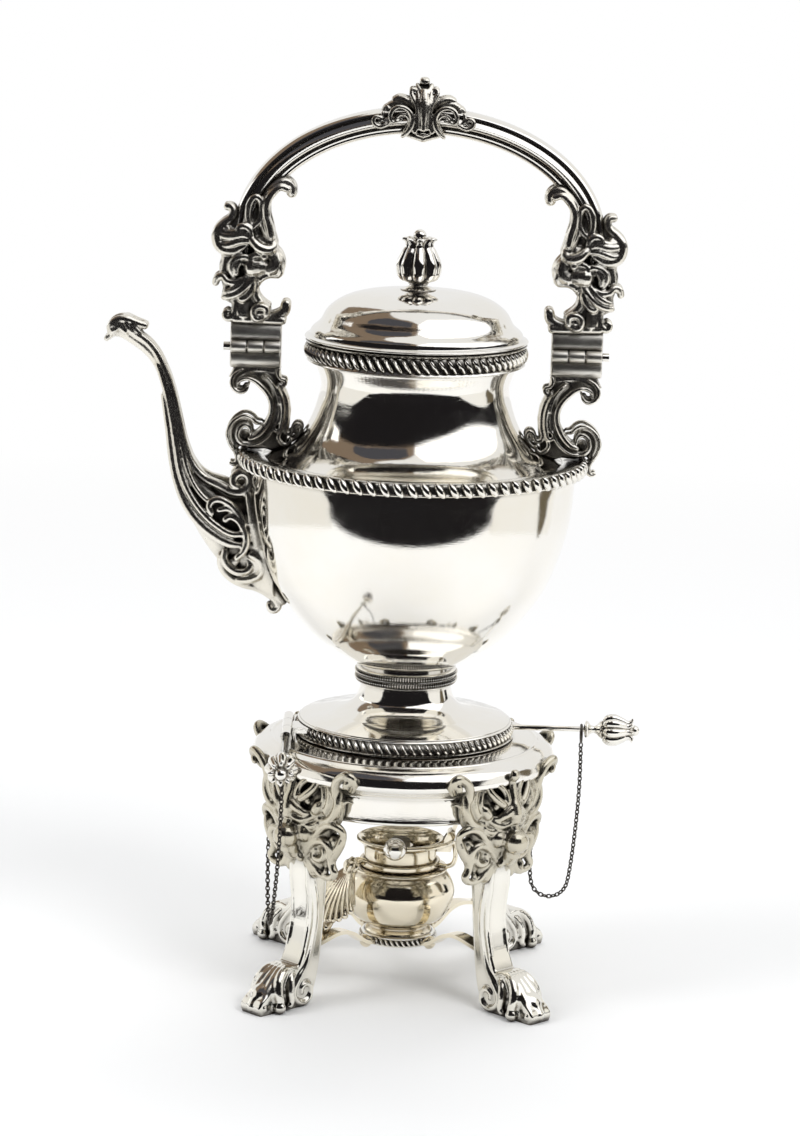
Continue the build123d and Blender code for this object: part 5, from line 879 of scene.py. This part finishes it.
legTurns = {"front_right": 315, "front_left": 225, "back_left": 135, "back_right": 45}
kneeMask = {"seat": 66.0, "voxel": 0.5, "fatter": 0.3, "lumps": [  # centre from the seat, and size
    ((-1.8, -8, 94), (6.2, 12, 19)), ((0.4, -1, 98), (6.6, 7, 15)), ((0.5, -2, 84), (6.5, 8, 9)),
    ((-3, -17.5, 100), (5, 7, 12)), ((-3, -14.5, 79), (4.5, 6.5, 11)), ((-2, -7, 70.5), (4, 7, 8.5)),
], "strands": [
    [(-0.4, 8, 116.3, 1.6), (-0.4, 8, 115.2, 1.9), (-0.5, 6.2, 112.9, 1.6), (-0.4, 6.5, 109.8, 1.5),
     (-0.4, 7.5, 104.3, 1.9), (-0.5, 9, 100, 2.5), (-0.5, 9.5, 96.6, 2.8)],
    [(-2, 8.6, 99.4, 2.3), (-5.2, 7.6, 97, 2.3), (-7.5, 6, 95.3, 1.9), (-9.4, 5, 95.4, 1.3)],
    [(-15.7, 2.5, 112.4, 1.1), (-13.4, 3.5, 110.5, 1.3), (-11.9, 4.8, 107.5, 1.6), (-9.2, 6.2, 104.5, 1.8),
     (-6.4, 7.5, 102, 1.6)],
    [(-9.2, 4, 111.9, 1.3), (-6, 5.2, 109.7, 1.6), (-4, 6.2, 106.5, 1.6), (-3.8, 7.5, 102.9, 1.4)],
    [(-8.7, 4.6, 100.9, 1.7), (-8.5, 4.6, 100.8, 1.7)],
    [(-14.5, 3, 99.5, 2.6), (-12.9, 3.6, 97.4, 2.5)],
    [(-12.9, 3.2, 95.4, 1.1), (-9.3, 5, 92.9, 1.6), (-5.2, 6.8, 91.7, 1.8), (-1.5, 8.4, 93.1, 1.6),
     (-0.6, 10, 93.8, 1.6)],
    [(-3.1, 5.6, 89.4, 1), (-3, 5.6, 89.3, 1)],
    [(-14.1, 3, 90.9, 1.3), (-10.7, 4, 89.1, 1.7), (-6.6, 5.2, 89.4, 1.8), (-3.2, 6.6, 88.1, 1.6)],
    [(-6.6, 4.6, 85.2, 4), (-6.2, 4.8, 84.9, 4)],
    [(-0.6, 9.5, 90.1, 1.6), (-0.6, 9.5, 89.3, 1.9)],
    [(-0.6, 10.4, 83.7, 5.5), (-0.6, 10.4, 83.1, 5.5)],
    [(-0.5, 8, 78.1, 3.7), (-0.4, 6, 74.6, 3)],
    [(-1.5, 7.2, 85.9, 1.5), (-2.7, 6.4, 82.8, 1.6), (-0.5, 5.6, 78, 1.7), (4.1, 4.6, 72.3, 1.4)],
    [(-4.1, 4.2, 81, 1.5), (-1, 3.6, 76.5, 1.6), (2.8, 2.8, 71.4, 1.3)],
    [(-20.1, -0.5, 112.7, 1.3), (-23.3, 0, 108.7, 1.6), (-24.4, 0.5, 103.6, 1.9), (-23.6, 1, 98.2, 2),
     (-19.5, 1.4, 93.4, 1.9), (-14.7, 2, 92.4, 1.6), (-12.8, 2.6, 95.3, 1.3)],
    [(-17.4, 0.6, 110.6, 1.5), (-20, 1, 106.5, 2), (-19.9, 1.2, 101.5, 2.3), (-17.8, 1.6, 97.4, 1.9)],
    [(-15.1, 1.6, 108.5, 1.3), (-16.7, 2, 105, 1.5), (-16.1, 2.4, 100.4, 1.5), (-14, 2.6, 97.8, 1)],
    [(-18, 1, 92.3, 0.7), (-21.2, 0.5, 93.9, 1), (-24.1, 0, 96.6, 1.1)],
    [(-30.6, -2, 109.5, 1.5), (-33.9, 0, 113.8, 1.7), (-32.6, 2, 117.1, 1.8), (-28, 2.4, 115.7, 1.9),
     (-23.9, 2, 111.1, 2), (-22.9, 1, 105.8, 1.9)],
    [(-31.9, 2.5, 113.5, 1.3), (-31, 2.5, 112, 1.3)],
    [(-29.3, -4, 102.7, 0.5), (-27.2, -3, 103.4, 0.8), (-24.8, -1.6, 101.7, 1.1)],
    [(-26, -2, 84.9, 1.3), (-26.3, -1, 88.3, 1.6), (-24.2, 0.4, 90.7, 1.9), (-20.4, 1.4, 91.3, 2),
     (-16.2, 2, 89.3, 1.9), (-12.7, 2.4, 85.8, 1.9), (-8.3, 2.6, 81.4, 1.9), (-4.3, 2.6, 76.8, 1.7),
     (-0.8, 2, 71.8, 1.3)],
    [(-25.8, -2, 86.1, 1.6), (-24.8, -1.4, 82.2, 2), (-22.1, -1, 77.6, 2.1), (-19.5, -1, 73.3, 1.9),
     (-20.4, -1, 69.9, 1.7), (-21.9, -1, 67.7, 1.6), (-19.1, -1, 65.1, 1.5), (-15.7, -1, 65.6, 1.3),
     (-16.3, -1, 68.1, 1)],
    [(-18.8, 0, 75.3, 1.6), (-19.8, 0.8, 79.5, 1.8), (-17.5, 1.6, 82.4, 1.8), (-13.1, 2, 82.3, 1.7),
     (-8.9, 2.2, 79.5, 1.7), (-5.5, 2.2, 75.4, 1.6), (-3.3, 1.8, 71.8, 1.1)],
    [(-20.8, -2, 83.3, 3), (-19.6, -2, 79.6, 2.8)],
    [(-15.8, 0.6, 78.4, 1.3), (-16.6, 0.8, 75.5, 1.4), (-13, 0.8, 72.9, 1.4), (-9.6, 1, 74.3, 1.3),
     (-10.8, 1, 77.2, 1)],
    [(-5.6, 0.4, 72.3, 1.8), (-9.3, 0, 69, 1.9), (-12.3, -0.6, 65.9, 1.7), (-15.6, -1, 64.3, 1.3)],
    [(-3.9, 1.4, 71.5, 1.3), (-6.4, 0.8, 68.3, 1.3), (-8.1, 0, 64.9, 1.1)],
]}


def kneeOn(x, w, z):
    return (kneeMask["seat"] + w, x, z)


def onFourLegs(piece, name, material, slot, node):
    for place, angle in legTurns.items():
        twin = copied(piece, turn(angle))
        twin.name = name + "_" + place
        finishPiece(twin, "stand", material, slot, node + "_" + place)
    bpy.data.objects.remove(piece)


maskHalf = laid(kneeMask["strands"], kneeMask["fatter"], kneeOn)
for (w, x, z), size in kneeMask["lumps"]:
    maskHalf.append(ball(kneeOn(x, w, z), size, segments=24, rings=16))
maskHalf = joined("maskHalf", maskHalf)
maskPiece = cast("kneeMaskCast", [maskHalf, mirrored(maskHalf, "y")], kneeMask["voxel"], soften=4)
onFourLegs(maskPiece, "kneeMask", frostedSilver, "cast_silver", "leg_mask")
print("masks cast", flush=True)


# Legs: panelled cabriole with heel volute and acanthus paw

leg = {
    "front": [(66, 62), (64.2, 46), (66.2, 32), (71.5, 19)],
    "hump": [(71.5, 19), (76, 20), (81, 18.6), (86, 14), (90, 9.5), (94, 6.5), (96, 3.5), (95, 0.4)],
    "back": [(68, 0.4), (62, 9), (58.6, 26), (56.4, 48), (55.5, 70), (55.5, 92)],
    "width": 13.5, "rail": 1.25, "voxel": 0.55, "sole": 0.02,
    "railEnd": [(75, 5.4, 18.4, 1.2), (76.5, 3.4, 17.2, 1.1), (77.2, 0, 16.8, 1.1)],
    "volute": [(64.2, 6.2, 62, 1), (61.8, 6.3, 46, 1), (63.4, 6.4, 32, 1), (67.4, 6.6, 20.5, 1.2),
               (72.5, 7, 14.2, 1.4), (75.6, 7.1, 8, 1.5), (72.5, 7.1, 2.8, 1.5), (66.8, 7.1, 2.6, 1.5),
               (64.2, 7, 7, 1.4), (66.5, 7, 10.8, 1.3), (70, 7, 9.6, 1.2), (70.2, 7, 6.6, 1)],
    "sideLeaf": [(74.5, 5.2, 18.2, 1.2), (77.5, 7.4, 14.5, 1.8), (79, 8.6, 9, 2), (78.6, 8.8, 4.4, 1.8),
                 (80.4, 8.8, 2.2, 1.6)],
    "toes": [(0, 97, 3.4), (-1, 95.5, 3.2), (1, 95.5, 3.2), (-2, 88, 3), (2, 88, 3)],  # place, reach, height
    "toeRoot": [(73.5, 1.2, 18.8, 1.3), (78.5, 2.2, 19.2, 2.2), (84, 3.1, 15.4, 2.5)],
    "heel": ((69, 4, 6.5), (6.2, 3.2, 6.2)), "paw": ((83, 0, 7.5), (12, 7.5, 7.2)),
}


def onSide(points, side):
    return [(x, side * y, *rest) for x, y, *rest in points]


legOutline = [(66, 92)] + bend(leg["front"], 8) + bend(leg["hump"], 4)[1:] + bend(leg["back"], 6)
legBits = [slab(legOutline, leg["width"] / 2, 1.0)]
for side in (-1, 1):
    edge = side * (leg["width"] / 2 - leg["rail"] + 0.1)
    rail = [(66.2, edge, 90, leg["rail"])] + [(r + 0.5, edge, z, leg["rail"]) for r, z in leg["front"]]
    heel, size = leg["heel"]
    legBits += [strand(rail + onSide(leg["railEnd"], side)), strand(onSide(leg["volute"], side)),
                ball(onSide([heel], side)[0], size, segments=24, rings=14)]
for way, reach, tip in leg["toes"]:
    toe = leg["toeRoot"] + [(0.5 * (84 + reach), 4, 9.6, 2.4), (reach - 2.4, 4.4, 5.2, 2.2),
                            (reach - 1.6, 4.4, tip, 2.4)]
    legBits += [strand(onSide(toe, way)), ball((reach - 2.2, way * 4.4, tip), 3.1)]
legBits += [strand(onSide(leg["sideLeaf"], side)) for side in (-1, 1)]
legBits.append(ball(*leg["paw"], segments=28, rings=18))
legPiece = cast("cabrioleLegCast", legBits, leg["voxel"])
pick(legPiece)
bpy.ops.object.mode_set(mode="EDIT")
bpy.ops.mesh.select_all(action="SELECT")
bpy.ops.mesh.bisect(plane_co=(0, 0, leg["sole"]), plane_no=(0, 0, -1), clear_outer=True, use_fill=True)
bpy.ops.object.mode_set(mode="OBJECT")
onFourLegs(legPiece, "cabrioleLeg", legSilver, "silver", "leg")
print("legs cast", flush=True)


# Hinges of the handle: curved leaves with rolled knuckles

leafSilver = silverFinish("leafSilver", (0.86, 0.84, 0.79), (0.12, 0.1, 0.08), depth=0.7, rough=(0.3, 0.42),
                          wavy=0.1)
hinge = {
    "middle": 75.5, "play": 0.5, "edge": 0.9, "width": 24.0, "axis": (-6, 307), "knuckle": 2.85,
    "upper": [(4, 307.4), (4, 317.4), (3.4, 318), (-2.4, 318), (-3.4, 317.3), (-4.4, 315.6), (-4.9, 313.6),
              (-4.8, 311.8), (-4, 310.3), (-3, 309.3), (-3, 307.4)],
    "lower": [(4, 306.6), (-3, 306.6), (-3, 304.9), (-4, 303.8), (-4.8, 302.4), (-4.9, 300.7), (-4.3, 298.8),
              (-3.2, 297.5), (3.4, 297.5), (4, 298.1)],
}


def placed(piece, x, y, z, *turns):
    for part in turns:
        piece.matrix_world = part @ piece.matrix_world
    piece.matrix_world = Matrix.Translation((x, y, z)) @ piece.matrix_world
    return applyPlace(piece)


def knuckle(length, x):
    r, half, chamfer = hinge["knuckle"], length / 2, 0.4
    outline = [(0, -half), (r - chamfer, -half), (r, chamfer - half), (r, half - chamfer),
               (r - chamfer, half), (0, half)]
    roll = turned("knuckle", outline, steps=36, edge=0.12)
    return placed(roll, x, *hinge["axis"], turn(90, "Y"))


third = hinge["width"] / 3
for which, body, spots in (("upper", "bail", (0,)), ("lower", "kettle", (-third, third))):
    plate = placed(slab(hinge[which], hinge["width"] / 2, hinge["edge"]), hinge["middle"], 0, 0, turn(90))
    rolls = [knuckle(third - hinge["play"], hinge["middle"] + spot) for spot in spots]
    leaf = smooth(joined(which + "LeafRight", [plate, *rolls]), 50)
    finishBothSides(leaf, body, leafSilver, "silver", which + "_leaf")
print("leaves rolled", flush=True)


# Pins of the stand with collars and buds

pins = {
    "hingePin": {"node": "hinge_pin", "body": "hinge_pin", "shaft": 1.6, "tip": -3.9, "collar": 84.0,
                 "end": 96.0, "at": (-55.5, 0, 127), "turn": turn(90, "X")},
    "lockPin": {"node": "lock_pin", "body": "lock_pin", "shaft": 1.3, "tip": 43.6, "collar": 86.0,
                "end": 96.0, "at": (0, 0, 126), "turn": turn(90, "Y")},
}
pinKnob = {"long": 16.9, "spool": [  # radius, and share of the run from collar to end
    (1.5, 0.02), (3.5, 0.06), (4.3, 0.14), (3.6, 0.24), (2.2, 0.34), (1.8, 0.46), (1.9, 0.56), (2.6, 0.66),
    (3.9, 0.76), (4.4, 0.84), (3.8, 0.92), (2.8, 1)]}
for name, pin in pins.items():
    r, start, run = pin["shaft"], pin["collar"], pin["end"] - pin["collar"]
    outline = [(0, pin["tip"]), (0.6 * r, pin["tip"]), (r, pin["tip"] + 0.9), (r, start)]
    outline += [(max(wide, r + 0.1), start + share * run) for wide, share in bend(pinKnob["spool"], 2)]
    piece = turned(name, outline + [(0, pin["end"])], steps=40, edge=0)
    finishPiece(placed(piece, *pin["at"], pin["turn"]), pin["body"], polished, "silver", pin["node"])
    knob = bud(name + "Bud", radius=7.5, length=14.2, petals=8, tip=2.6)
    knob.location.z = pin["end"]
    knob = smooth(reaching(applyPlace(knob), 2, pin["end"], pin["end"] + pinKnob["long"]), 50)
    finishPiece(placed(knob, *pin["at"], pin["turn"]), pin["body"], polished, "silver", pin["node"] + "_bud")
print("pins turned", flush=True)


# Shell handle of the burner, with its strap

shell = {
    "root": Vector((-21.67, -16.93, 61.0)), "down": Vector((-0.441, -0.345, -0.83)),
    "side": Vector((0.616, -0.788, 0.0)), "ribs": 10, "spread": 66, "length": 30.5, "shorter": 3.5,
    "lobe": 1.75, "end": (34.5, 4, -0.8), "endSize": 2.6, "voxel": 0.42,
    "rib": [(0.08, 0.5, 0.6), (0.3, 1.6, 0.85), (0.6, 2, 1.25), (0.88, 1.2, 1.6), (1, 0.2, 1.7)],
    # the other strands are rows of (along, angle, lift, thickness)
    "knot": [(-1.5, 0, 0.8, 2.2), (2.5, 0, 1.8, 2.9), (6, 0, 1.6, 1.8)],
    "curl": [(1, 0, 1, 1.5), (1.5, 60, 1.2, 1.6), (4.2, 66, 1, 1.5), (5.2, 40, 1, 1.2)],
    "spine": [(2, 4, -1.5, 1.6), (18, 4, -2.4, 1.7), (30, 4, -2.2, 1.8), (34, 4, -1.2, 2.3)],
    "strap": [(-16.6, -13, 60.2, 1.5), (-19.5, -15.2, 61.6, 1.8)],
}
outward = shell["down"].cross(shell["side"]).normalized()


def onShell(along, angle, lift):
    way = math.cos(math.radians(angle)) * shell["down"] + math.sin(math.radians(angle)) * shell["side"]
    return shell["root"] + along * way + lift * outward


def shellStrand(rows, flow=5):
    return strand([(*onShell(along, angle, lift), r) for along, angle, lift, r in rows], flow=flow)


shellBits = []
for i in range(shell["ribs"]):
    angle = shell["spread"] * (i / (shell["ribs"] - 1) - 0.5)
    reach = shell["length"] - shell["shorter"] * (2 * angle / shell["spread"]) ** 2
    groove = [(4, angle, 0.2, 0.8), (0.5 * reach, angle + 1.8, 0.6, 1.2),
              (0.9 * reach, angle + 2.2, -0.2, 1.3)]
    shellBits += [shellStrand([(share * reach, angle, lift, r) for share, lift, r in shell["rib"]]),
                  ball(onShell(reach, angle, 0.2), shell["lobe"], segments=14, rings=9),
                  shellStrand(groove, flow=3)]
shellBits.append(shellStrand(shell["knot"]))
for way in (-1, 1):
    shellBits.append(shellStrand([(along, angle * way, lift, r) for along, angle, lift, r in shell["curl"]]))
shellBits += [shellStrand(shell["spine"]), ball(onShell(*shell["end"]), shell["endSize"]),
              strand(shell["strap"] + [(*shell["root"], 2.4)])]
shellPiece = cast("shellHandle", shellBits, shell["voxel"], soften=1)
finishPiece(shellPiece, "burner", burnerSilver, "burner_metal", "burner_handle")
print("shell cast", flush=True)


# Regulator: ring, post, curved lever and ball knob; strap lobes of the burner's support

regulator = {"ring": [(17.65, 56.3), (19.1, 56.3), (19.5, 56.8), (19.5, 59), (19.1, 59.4), (17.65, 59.4),
                      (17.65, 56.3)],
             "reach": 27.2, "height": 70.9, "from": -17, "to": -84, "knob": (-2.6, -27.5, 70.9), "size": 5.35}


def leverSpot(angle, z, r=1.15, reach=regulator["reach"]):
    return (reach * math.cos(math.radians(angle)), reach * math.sin(math.radians(angle)), z, r)


first, last = regulator["from"], regulator["to"]
post = [leverSpot(first, 57.9, 1.2, 19.4), leverSpot(first, 58.0, 1.2, 24.5), leverSpot(first, 60.5),
        leverSpot(first, 68.0), leverSpot(first - 5, 70.6)]
sweep = [leverSpot(first + (last - first) * i / 8, regulator["height"]) for i in range(2, 9)]
lever = strand(post + sweep, sides=4, flow=6)
ringPart = turned("regulatorRing", regulator["ring"], steps=96, edge=0.2)
whole = smooth(joined("regulatorLever", [ringPart, lever]), 45)
finishPiece(whole, "regulator", burnerSilver, "burner_metal", "regulator")

r = regulator["size"]
around = [math.radians(a) for a in range(-84, 79, 6)]
knobLine = [(0, -r), *((r * math.cos(a), r * math.sin(a)) for a in around), (1, 0.985 * r), (0.7, 1.02 * r),
            (0, 1.03 * r)]
knobPiece = smooth(turned("ballKnob", knobLine, steps=48, edge=0), 60)
finishPiece(placed(knobPiece, *regulator["knob"], turn(-90, "Y")), "regulator", polished, "burner_metal",
            "regulator_knob")

strapLobe = {"voxel": 0.4, "centre": (22, 0, 22), "size": (2.4, 3.4, 3.2), "edge": [
    (20.6, -2.2, 23.6, 1.3), (21.6, -2, 21.6, 1.5), (21.6, 0, 20.2, 1.7), (21.6, 2, 21.6, 1.5),
    (20.6, 2.2, 23.6, 1.3)]}
for place, angle in legTurns.items():
    lobe = [strand(strapLobe["edge"]), ball(strapLobe["centre"], strapLobe["size"], segments=20, rings=12)]
    lobePiece = placed(cast("strapLobe_" + place, lobe, strapLobe["voxel"]), 0, 0, 0, turn(angle))
    finishPiece(lobePiece, "stand", burnerSilver, "silver")
print("burner dressed", flush=True)


# The nodes that stay get their metal

keepers = {
    polished: ["lid_bezel", "finial_nut", "lock_eye", "lock_barrel", "foot_knuckle", "stand_knuckles",
               "bail_pins"],
    chainSilver: ["chain_eyes", "hinge_chain_ring", "lock_chain_ring"],
    burnerSilver: ["wick_holder", "snuffer", "snuffer_bracket", "snuffer_pin", "support_arms"],
}
for material, names in keepers.items():
    for name in names:
        nodes[name].data.materials.clear()
        nodes[name].data.materials.append(material)


# Studio: pale floor, lamps, dark cards that only show in the silver, camera

studio = {
    "floor": 6.0, "clear": (0.55, 1.5), "white": (0.93, 0.935, 0.94), "centre": (0.0170448, 0.0148, 0.28),
    "cards": {  # distance, tone, then azimuth from the viewer with the lower and upper height, in degrees
        "darkRoom": {"away": 2.4, "tone": (0.012, 0.011, 0.012), "edges": [
            (-128, -3, 3), (-112, 3, 12), (-95, 8, 26), (-80, 4, 35), (-65, -8, 41), (-45, -14, 44),
            (-20, -14, 46), (0, -14, 45), (25, -14, 38), (50, -14, 27), (65, -8, 21), (85, 2, 17),
            (100, 4, 15), (112, -4, 12), (125, -10, 2)]},
        "brownCeiling": {"away": 2.6, "tone": (0.22, 0.165, 0.12), "edges": [
            (-150, 34, 66), (-120, 26, 72), (-90, 27, 76), (-60, 38, 78), (-30, 42, 78), (-6, 43, 70),
            (4, 46, 56)]},
        "darkCeiling": {"away": 2.5, "tone": (0.07, 0.07, 0.08), "edges": [
            (-118, 36, 62), (-90, 34, 71), (-60, 44, 74), (-30, 47, 74), (-8, 48, 66)]},
        "leftStripe": {"away": 2.3, "tone": (1.5, 1.5, 1.5), "edges": [
            (-138, 1, 5), (-125, 5, 15), (-110, 11, 23), (-94, 24, 31)]},
        "rightBox": {"away": 2.3, "tone": (1.45, 1.46, 1.5), "edges": [
            (2, 46, 58), (20, 41, 74), (45, 31, 80), (65, 22, 80), (90, 17, 72), (106, 16, 60)]},
        "rightSheet": {"away": 0.45, "tone": (0.95, 0.94, 0.91), "edges": [
            (54, -24, -23), (58, -24, -10), (64, -24, 0), (74, -24, 8), (88, -24, 10), (100, -24, 4),
            (112, -24, -8)]},
        "leftSheet": {"away": 0.45, "tone": (0.9, 0.89, 0.86), "edges": [
            (-118, -24, 2), (-105, -24, 7), (-90, -24, 11), (-75, -24, 12), (-65, -24, 4), (-58, -24, -10),
            (-54, -24, -23)]},
        "greyPost": {"away": 0.43, "tone": (0.14, 0.115, 0.075), "edges": [(93, -14, 6), (100, -26, 4),
                                                                           (107, -12, 2)]},
    },
    "darkFloor": {"at": (0.02, -1.325, 0.06), "size": (2.9, 2)},
    "lampsAim": (0, 0, 0.2),
    "lamps": [
        {"at": (1.1, -1.3, 1.9), "size": (0.9, 0.9), "power": 22},
        {"at": (-1.5, -0.6, 1.4), "size": (0.9, 1.2), "power": 14},
        {"at": (0.2, 1.2, 2.1), "size": (1.6, 1), "power": 16},
    ],
    "sky": {"diffuse": 0.55, "glossy": 0.87},
}

clearAll()
bpy.ops.mesh.primitive_plane_add(size=studio["floor"], location=(0, 0, 0))
floor = bpy.context.object
floor.name = "floor"
paper = newFinish("floorPaper")
mottle = paper.ranged(paper.noise(3, 3), 0.3, 0.7)
matte = paper.surface(Base_Color=paper.blend(mottle, studio["white"], [0.99 * c for c in studio["white"]]),
                      Roughness=0.7, Specular_IOR_Level=0.2)
wide = paper.node("ShaderNodeVectorMath", {"operation": "LENGTH"}, {0: paper.place}, "Value")
fade = paper.node("ShaderNodeMixShader", {}, {
    0: paper.ranged(wide, *studio["clear"]), 1: matte, 2: paper.node("ShaderNodeEmission")})
floor.data.materials.append(paper.output(fade))


def onlyInSilver(sheet, name, tone):
    sheet.name = name
    paint = newFinish(name + "Paint")
    sheet.data.materials.append(paint.output(paint.node("ShaderNodeEmission", {}, {"Color": (*tone, 1)})))
    sheet.visible_camera = sheet.visible_diffuse = sheet.visible_shadow = False


def edgeLine(card, which):
    spots = []
    for row in bend(card["edges"], 5):
        azimuth, height = math.radians(row[0]), math.radians(row[which])
        flat = card["away"] * math.cos(height)
        spots.append(Vector(studio["centre"]) + Vector((flat * math.sin(azimuth), -flat * math.cos(azimuth),
                                                        card["away"] * math.sin(height))))
    return meshed(drawn(spots))


for name, card in studio["cards"].items():
    sheet = joined(name, [edgeLine(card, 1), edgeLine(card, 2)])
    bpy.ops.object.mode_set(mode="EDIT")
    bpy.ops.mesh.select_all(action="SELECT")
    bpy.ops.mesh.bridge_edge_loops()
    bpy.ops.object.mode_set(mode="OBJECT")
    onlyInSilver(sheet, name, card["tone"])

clearAll()
bpy.ops.mesh.primitive_plane_add(size=1, location=studio["darkFloor"]["at"])
bpy.context.object.scale = (*studio["darkFloor"]["size"], 1)
onlyInSilver(bpy.context.object, "darkFloor", studio["cards"]["darkRoom"]["tone"])

for i, lamp in enumerate(studio["lamps"]):
    light = bpy.data.lights.new(f"softbox{i}", "AREA")
    light.shape = "RECTANGLE"
    light.size, light.size_y = lamp["size"]
    light.energy = lamp["power"]
    holder = bpy.data.objects.new(f"softbox{i}", light)
    holder.location = lamp["at"]
    towards = Vector(studio["lampsAim"]) - holder.location
    holder.rotation_euler = towards.to_track_quat("-Z", "Y").to_euler()
    holder.visible_glossy = False
    bpy.context.scene.collection.objects.link(holder)

sky = Finish(bpy.data.worlds.new("studioWhite"))
bpy.context.scene.world = sky.owner
inSilver = sky.node("ShaderNodeMix", {}, {0: sky.node("ShaderNodeLightPath", out="Is Glossy Ray"),
                                          2: studio["sky"]["diffuse"], 3: studio["sky"]["glossy"]})
strength = sky.node("ShaderNodeMix", {}, {0: sky.node("ShaderNodeLightPath", out="Is Camera Ray"),
                                          2: inSilver, 3: 1.0})
dome = sky.node("ShaderNodeBackground", {}, {"Color": (1, 1, 1, 1), "Strength": strength})
sky.output(dome, "ShaderNodeOutputWorld")

shot = {"lens": 126.8, "distance": 1.905, "aim": (0.0126, 0.0148, 0.202), "down": 11.3, "roll": 1.8}
camera = bpy.data.cameras.new("camera")
camera.sensor_fit = "VERTICAL"
camera.sensor_height = 36
camera.lens = shot["lens"]
tripod = bpy.data.objects.new("camera", camera)
bpy.context.scene.collection.objects.link(tripod)
down = math.radians(shot["down"])
spot = Vector(shot["aim"]) + shot["distance"] * Vector((0, -math.cos(down), math.sin(down)))
tripod.matrix_world = Matrix.Translation(spot) @ turn(90 - shot["down"], "X") @ turn(shot["roll"])
bpy.context.scene.camera = tripod
bpy.context.scene.view_settings.view_transform = "Standard"

print("scene ready", flush=True)
